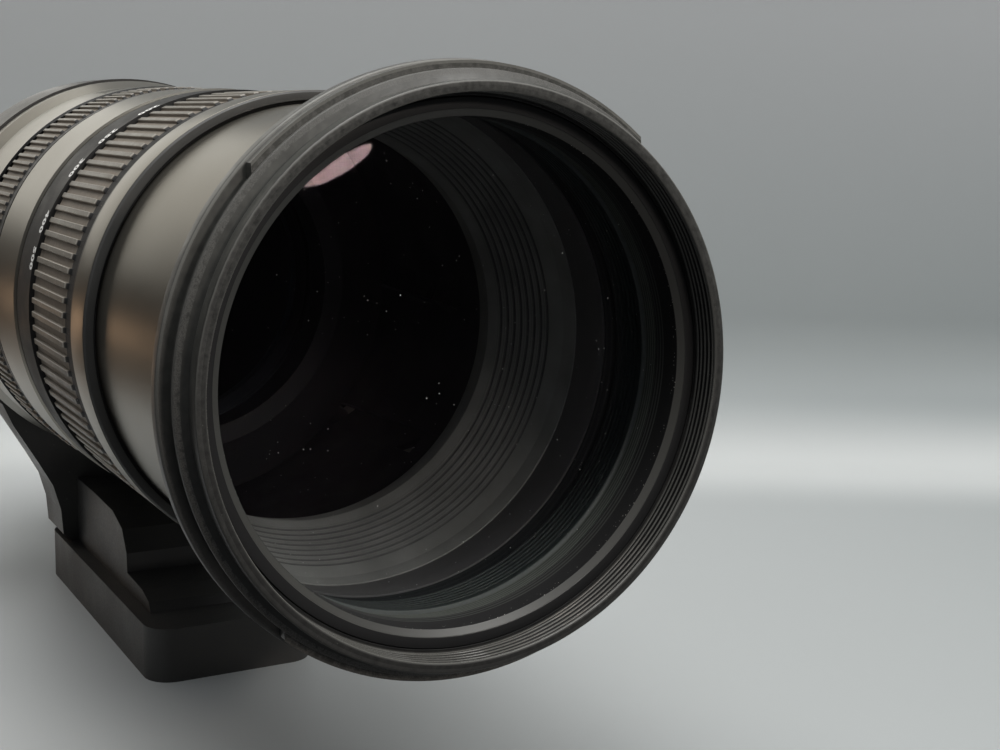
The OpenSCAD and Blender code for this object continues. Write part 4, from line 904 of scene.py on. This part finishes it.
def makeRibs(values, finish):
    around = [(2 * math.pi * (rib + share) / values["count"], height)
              for rib in range(values["count"]) for share, height in ribSides]
    tall = values["top"] - values["floor"]
    form = bmesh.new()
    rings = []
    for station, skin, raised in ribRows(values):
        base = values["floor"] - sleeveEdge["drop"] * (1 - skin)
        rings.append(addRing(form, station, [(base + tall * height * raised, turn)
                                             for turn, height in around]))
    for station in (values["end"], values["start"]):
        rings.append(addRing(form, station, [(values["inner"], turn) for turn, height in around]))
    joinRings(form, rings)
    return finishPiece(meshFrom(form, values["name"]), values["name"], values["body"], finish,
                       (values["node"],), sharp=24.0)


makeRibs(zoomRibs, zoomRubber)
makeRibs(focusRibs, focusRubber)
print("ribbed grips made")

# Painted figures and dashes, wrapped round the barrel. Turns are in degrees from the top
# towards -Y
figurePaint = {"lift": 0.03, "size": 1.38, "bold": 0.06, "spacing": 1.12}
zoomFigures = {"station": 148.35, "height": 2.05, "radius": 43.8,
               "turns": [("150", 0.0), ("200", 26.3), ("250", 39.0), ("300", 50.4),
                         ("400", 66.4), ("500", 76.0)]}
# distances in metres that pass under the window as the focus ring turns
focusFigures = {"station": 87.4, "height": 2.5, "radius": 43.8, "ticks": (82.6, 84.4),
                "tickWidth": 0.3,
                "turns": [("80", 0.0), ("40", 14.0), ("20", 30.0), ("12", 46.0), ("8", 62.0),
                          ("5", 78.0), ("3", 95.0), ("2.2", 110.0)]}
zoomIndex = {"stations": (134.2, 137.2), "turn": 0.0, "width": 0.45, "radius": 44.2}
switchMarks = {"radius": 46.1, "width": 0.5, "half": 0.6,
               "rows": ((-73.4, (84.5, 87.5)), (-106.6, (84.5, 90.5)))}


def wrapFigures(name, body, values):
    form = bmesh.new()
    height, radius = values["height"], values["radius"]
    out = (radius + figurePaint["lift"]) * mm
    for text, degrees in values["turns"]:
        curve = bpy.data.curves.new(name + "Line", "FONT")
        curve.body = text
        curve.size = height * figurePaint["size"]
        curve.align_x, curve.align_y = "CENTER", "CENTER"
        curve.offset = height * figurePaint["bold"]
        curve.space_character = figurePaint["spacing"]
        curve.resolution_u = 3
        carrier = bpy.data.objects.new(name + "Carrier", curve)
        bpy.context.scene.collection.objects.link(carrier)
        bpy.context.view_layer.update()
        flat = bpy.data.meshes.new_from_object(carrier)
        bpy.data.objects.remove(carrier)
        bpy.data.curves.remove(curve)
        for vert in flat.vertices:
            turn = math.radians(90 + degrees) + vert.co.x / radius
            vert.co = ((values["station"] + vert.co.y) * mm, out * math.cos(turn),
                       out * math.sin(turn))
        form.from_mesh(flat)
        bpy.data.meshes.remove(flat)
    return finishPiece(meshFrom(form, name), name, body, whitePaint, ())


def makeStrokes(name, body, strokes, width, radius):
    # short painted lines: (station from, station to, degrees)
    form = bmesh.new()
    half = width / radius / 2
    out = (radius + figurePaint["lift"]) * mm
    for start, end, degrees in strokes:
        corners = []
        for station, side in ((start, -1), (end, -1), (end, 1), (start, 1)):
            turn = math.radians(90 + degrees) + side * half
            corners.append(form.verts.new((station * mm, out * math.cos(turn),
                                           out * math.sin(turn))))
        form.faces.new(corners)
    bmesh.ops.subdivide_edges(form, edges=form.edges[:], cuts=2, use_grid_fill=True)
    return finishPiece(meshFrom(form, name), name, body, whitePaint, ())


wrapFigures("zoomFigures", "zoom", zoomFigures)
wrapFigures("focusFigures", "focus", focusFigures)
makeStrokes("zoomIndex", "barrel", [(*zoomIndex["stations"], zoomIndex["turn"])],
            zoomIndex["width"], zoomIndex["radius"])
makeStrokes("scaleTicks", "focus", [(*focusFigures["ticks"], degrees)
                                    for text, degrees in focusFigures["turns"]],
            focusFigures["tickWidth"], focusFigures["radius"])
makeStrokes("switchMarks", "barrel",
            [(station - switchMarks["half"], station + switchMarks["half"], degrees)
             for degrees, stations in switchMarks["rows"] for station in stations],
            switchMarks["width"], switchMarks["radius"])
print("figures made")

# Specks of dust that lie on the front glass
dustValues = {"seed": 11, "count": 240, "small": 0.045, "large": 0.13, "reach": 38.2,
              "lift": 0.02}


def makeGlassDust(values):
    dice = random.Random(values["seed"])
    form = bmesh.new()
    centre = frontGlass["vertex"] - frontGlass["curve"]
    for speck in range(values["count"]):
        radius = values["reach"] * math.sqrt(dice.random())
        turn = dice.uniform(0, 2 * math.pi)
        size = values["small"] + (values["large"] - values["small"]) * dice.random() ** 5
        station = centre + math.sqrt(frontGlass["curve"] ** 2 - radius ** 2) + values["lift"]
        middle = Vector((station, radius * math.cos(turn), radius * math.sin(turn)))
        normal = (middle - Vector((centre, 0, 0))).normalized()
        side = normal.cross(Vector((0, 0, 1))).normalized()
        up = normal.cross(side)
        corners = []
        for corner in range(6):
            angle = math.pi * corner / 3
            reach = size * dice.uniform(0.6, 1.0)
            corners.append(form.verts.new((middle + side * math.cos(angle) * reach
                                           + up * math.sin(angle) * reach) * mm))
        form.faces.new(corners)
    return finishPiece(meshFrom(form, "glassDust"), "glassDust", "front", whitePaint,
                       ())


makeGlassDust(dustValues)

# Stage: a pale floor that curves up behind the lens. Reach runs away from the camera
stageValues = {"floor": -82.6, "toCurve": 515.0, "curve": 50.0, "high": 1500.0, "wide": 2600.0,
               "front": -900.0, "steps": 24}
cameraValues = {"place": (435.5, -103.55, 37.43), "yaw": 29.97, "pitch": -9.66, "roll": 1.37,
                "focal": 52.28, "sensor": 36.0, "clip": (0.01, 20.0)}


def makeStage(values, camera):
    yaw = math.radians(camera["yaw"])
    ahead = Vector((-math.cos(yaw), math.sin(yaw), 0))
    side = Vector((math.sin(yaw), math.cos(yaw), 0))
    origin = Vector((camera["place"][0], camera["place"][1], 0))
    section = [(values["front"], 0.0), (0.0, 0.0), (values["toCurve"], 0.0)]
    for step in range(1, values["steps"] + 1):
        angle = math.pi / 2 * step / values["steps"]
        section.append((values["toCurve"] + values["curve"] * math.sin(angle),
                        values["curve"] * (1 - math.cos(angle))))
    section.append((values["toCurve"] + values["curve"], values["high"]))
    form = bmesh.new()
    rows = []
    for reach, height in section:
        rows.append([form.verts.new((origin + ahead * reach + side * across
                                     + Vector((0, 0, values["floor"] + height))) * mm)
                     for across in (-values["wide"], 0.0, values["wide"])])
    for row, after in zip(rows, rows[1:]):
        for step in range(2):
            form.faces.new((row[step], row[step + 1], after[step + 1], after[step]))
    mesh = meshFrom(form, "paperSweep")
    for polygon in mesh.polygons:
        polygon.use_smooth = True
    if mesh.polygons[0].normal.z < 0:
        mesh.flip_normals()
    sweep = bpy.data.objects.new("paperSweep", mesh)
    bpy.context.scene.collection.objects.link(sweep)
    return sweep


# reach is counted from the lens axis here, away from the camera, and across to its right
# the far, wall-top and left colours are painted light, the wall colour painted shade
sweepValues = {"far": (0.62, 0.642, 0.64), "lens": (0.385, 0.41, 0.412), "farReach": (30.0, 82.0),
               "wall": (0.275, 0.303, 0.31), "wallHeight": (-88.0, -62.0),
               "paintedLightWallTop": (0.395, 0.415, 0.43), "topHeight": (-45.0, 80.0),
               "paintedLightLeftFloor": (0.74, 0.755, 0.765), "paintedLightLeftWall": (0.60, 0.62, 0.615),
               "leftAcross": (330.0, -60.0), "leftMost": 0.42, "leftOnWall": 0.6,
               "aside": (0.10, 0.085, 0.07), "asideAcross": (-200.0, -90.0),
               "front": (0.035, 0.037, 0.04), "frontReach": (-230.0, -175.0),
               "patch": (0.36, 0.38, 0.39), "mark": (0.6, 0.62, 0.62),
               "roughLow": 0.38, "roughHigh": 0.5}


def sweepFinish(values):
    # pale grey paper, clear from behind so that the lens shows from every side, with painted light
    # and shade
    material, tree = startFinish("paperGrey", Specular_IOR_Level=0.3)
    x, y, height = splitVector(place(tree, axisPlace)["Place"])
    yaw = math.radians(cameraValues["yaw"])
    reach = mathStep("SUBTRACT", times(y, math.sin(yaw)), times(x, math.cos(yaw)))
    across = mathStep("ADD", times(x, math.sin(yaw)), times(y, math.cos(yaw)))
    patches = effect(tree, clouds, Size=160.0)
    marks = effect(tree, scratches, Fine=0.6, Long=60.0, Share=0.1)
    # painted light and shade: paler where the floor meets the curve, darker low on the wall, paler
    # at its top, and paler on the left, lifting the lens's shadow there
    far = spread(reach, *values["farReach"], smooth=True)
    wall = spread(height, *values["wallHeight"], smooth=True)
    top = times(spread(height, *values["topHeight"]), wall)
    paintedLightLeft = spread(across, *values["leftAcross"], 0.0, values["leftMost"])
    aside = spread(across, *values["asideAcross"], 1.0, 0.0, smooth=True)
    front = spread(reach, *values["frontReach"], 1.0, 0.0, smooth=True)
    colour = coat(values["lens"], (far, values["far"]), (wall, values["wall"]),
                  (top, values["paintedLightWallTop"]),
                  (times(paintedLightLeft, mathStep("SUBTRACT", 1.0, far)), values["paintedLightLeftFloor"]),
                  (times(paintedLightLeft, times(wall, values["leftOnWall"])), values["paintedLightLeftWall"]),
                  (aside, values["aside"]), (front, values["front"]),
                  (patches, values["patch"], 0.06), (marks, values["mark"], 0.15))
    rough = spread(patches, 0.0, 1.0, values["roughLow"], values["roughHigh"])
    closeFinish(material, colour, rough, effect(tree, grain, Size=0.8), 0.05, 0.05)
    return letThrough(material, tree.nodes.new("ShaderNodeNewGeometry").outputs["Backfacing"])


sweep = makeStage(stageValues, cameraValues)
sweep.data.materials.append(sweepFinish(sweepValues))

# Lamps, in metres and watts
lampValues = {
    "overhead": {"place": (0.30, -0.15, 1.25), "aim": (0.15, 0.0, 0.0), "size": (0.9, 0.9),
                 "power": 13.6, "colour": (1.0, 0.985, 0.96)},
    "frontHigh": {"place": (1.02, 0.50, 0.90), "aim": (0.24, 0.0, 0.0), "size": (0.50, 0.40),
                  "power": 5.2, "colour": (1.0, 0.99, 0.96)},
    "backTop": {"place": (-0.20, -0.116, 0.19), "aim": (0.146, -0.316, 0.13),
                "size": (0.30, 0.28), "power": 0.32, "colour": (1.0, 0.965, 0.88)},
    "window": {"place": (1.62, 0.265, 0.512), "aim": (0.24, 0.0, 0.0), "size": (0.30, 0.062),
               "power": 3.3, "colour": (1.0, 0.89, 0.80), "shape": "ELLIPSE", "spin": 25.0},
    "warmSide": {"place": (-0.2375, -0.152, -0.05), "aim": (0.109, -0.352, -0.03),
                 "size": (0.26, 0.05), "power": 0.075, "colour": (1.0, 0.64, 0.39)},
}


def makeLamp(name, values):
    data = bpy.data.lights.new(name, "AREA")
    data.shape = values.get("shape", "RECTANGLE")
    data.size, data.size_y = values["size"]
    data.energy = values["power"]
    data.color = values["colour"]
    lamp = bpy.data.objects.new(name, data)
    lamp.location = values["place"]
    facing = (Vector(values["aim"]) - Vector(values["place"])).to_track_quat("-Z", "Y")
    spin = Quaternion((0, 0, 1), math.radians(values.get("spin", 0.0)))
    lamp.rotation_euler = (facing @ spin).to_euler()
    lamp.visible_camera = False
    bpy.context.scene.collection.objects.link(lamp)


for name, values in lampValues.items():
    makeLamp(name, values)

worldValues = {"low": (0.03, 0.03, 0.031), "level": (0.04, 0.041, 0.043),
               "high": (0.42, 0.43, 0.45), "lowHeight": (-0.4, 0.0), "highHeight": (0.15, 0.9)}


def makeWorld(values):
    # dark at the level of the lens, so that its glass stays black, and paler overhead
    world = bpy.data.worlds.new("studio")
    world.use_nodes = True
    tree = world.node_tree
    tree.nodes.clear()
    height = splitVector(tree.nodes.new("ShaderNodeTexCoord").outputs["Generated"])[2]
    colour = coat(values["low"], (spread(height, *values["lowHeight"]), values["level"]),
                  (spread(height, *values["highHeight"], smooth=True), values["high"]))
    light = fill(tree.nodes.new("ShaderNodeBackground"), Color=colour)
    feed(tree.nodes.new("ShaderNodeOutputWorld").inputs[0], light[0])
    bpy.context.scene.world = world


makeWorld(worldValues)


def makeCamera(values):
    yaw, pitch, roll = (math.radians(values[key]) for key in ("yaw", "pitch", "roll"))
    ahead = Vector((-math.cos(pitch) * math.cos(yaw), math.cos(pitch) * math.sin(yaw),
                    math.sin(pitch)))
    right = ahead.cross(Vector((0, 0, 1))).normalized()
    up = right.cross(ahead)
    rightRolled = right * math.cos(roll) + up * math.sin(roll)
    upRolled = up * math.cos(roll) - right * math.sin(roll)
    data = bpy.data.cameras.new("camera")
    data.sensor_width = values["sensor"]
    data.lens = values["focal"]
    data.clip_start, data.clip_end = values["clip"]
    camera = bpy.data.objects.new("camera", data)
    axes = Matrix((rightRolled, upRolled, -ahead)).transposed().to_4x4()
    camera.matrix_world = Matrix.Translation(Vector(values["place"]) * mm) @ axes
    bpy.context.scene.collection.objects.link(camera)
    bpy.context.scene.camera = camera


makeCamera(cameraValues)
bpy.context.scene.view_settings.view_transform = "Standard"
print("stage, lamps and camera set")
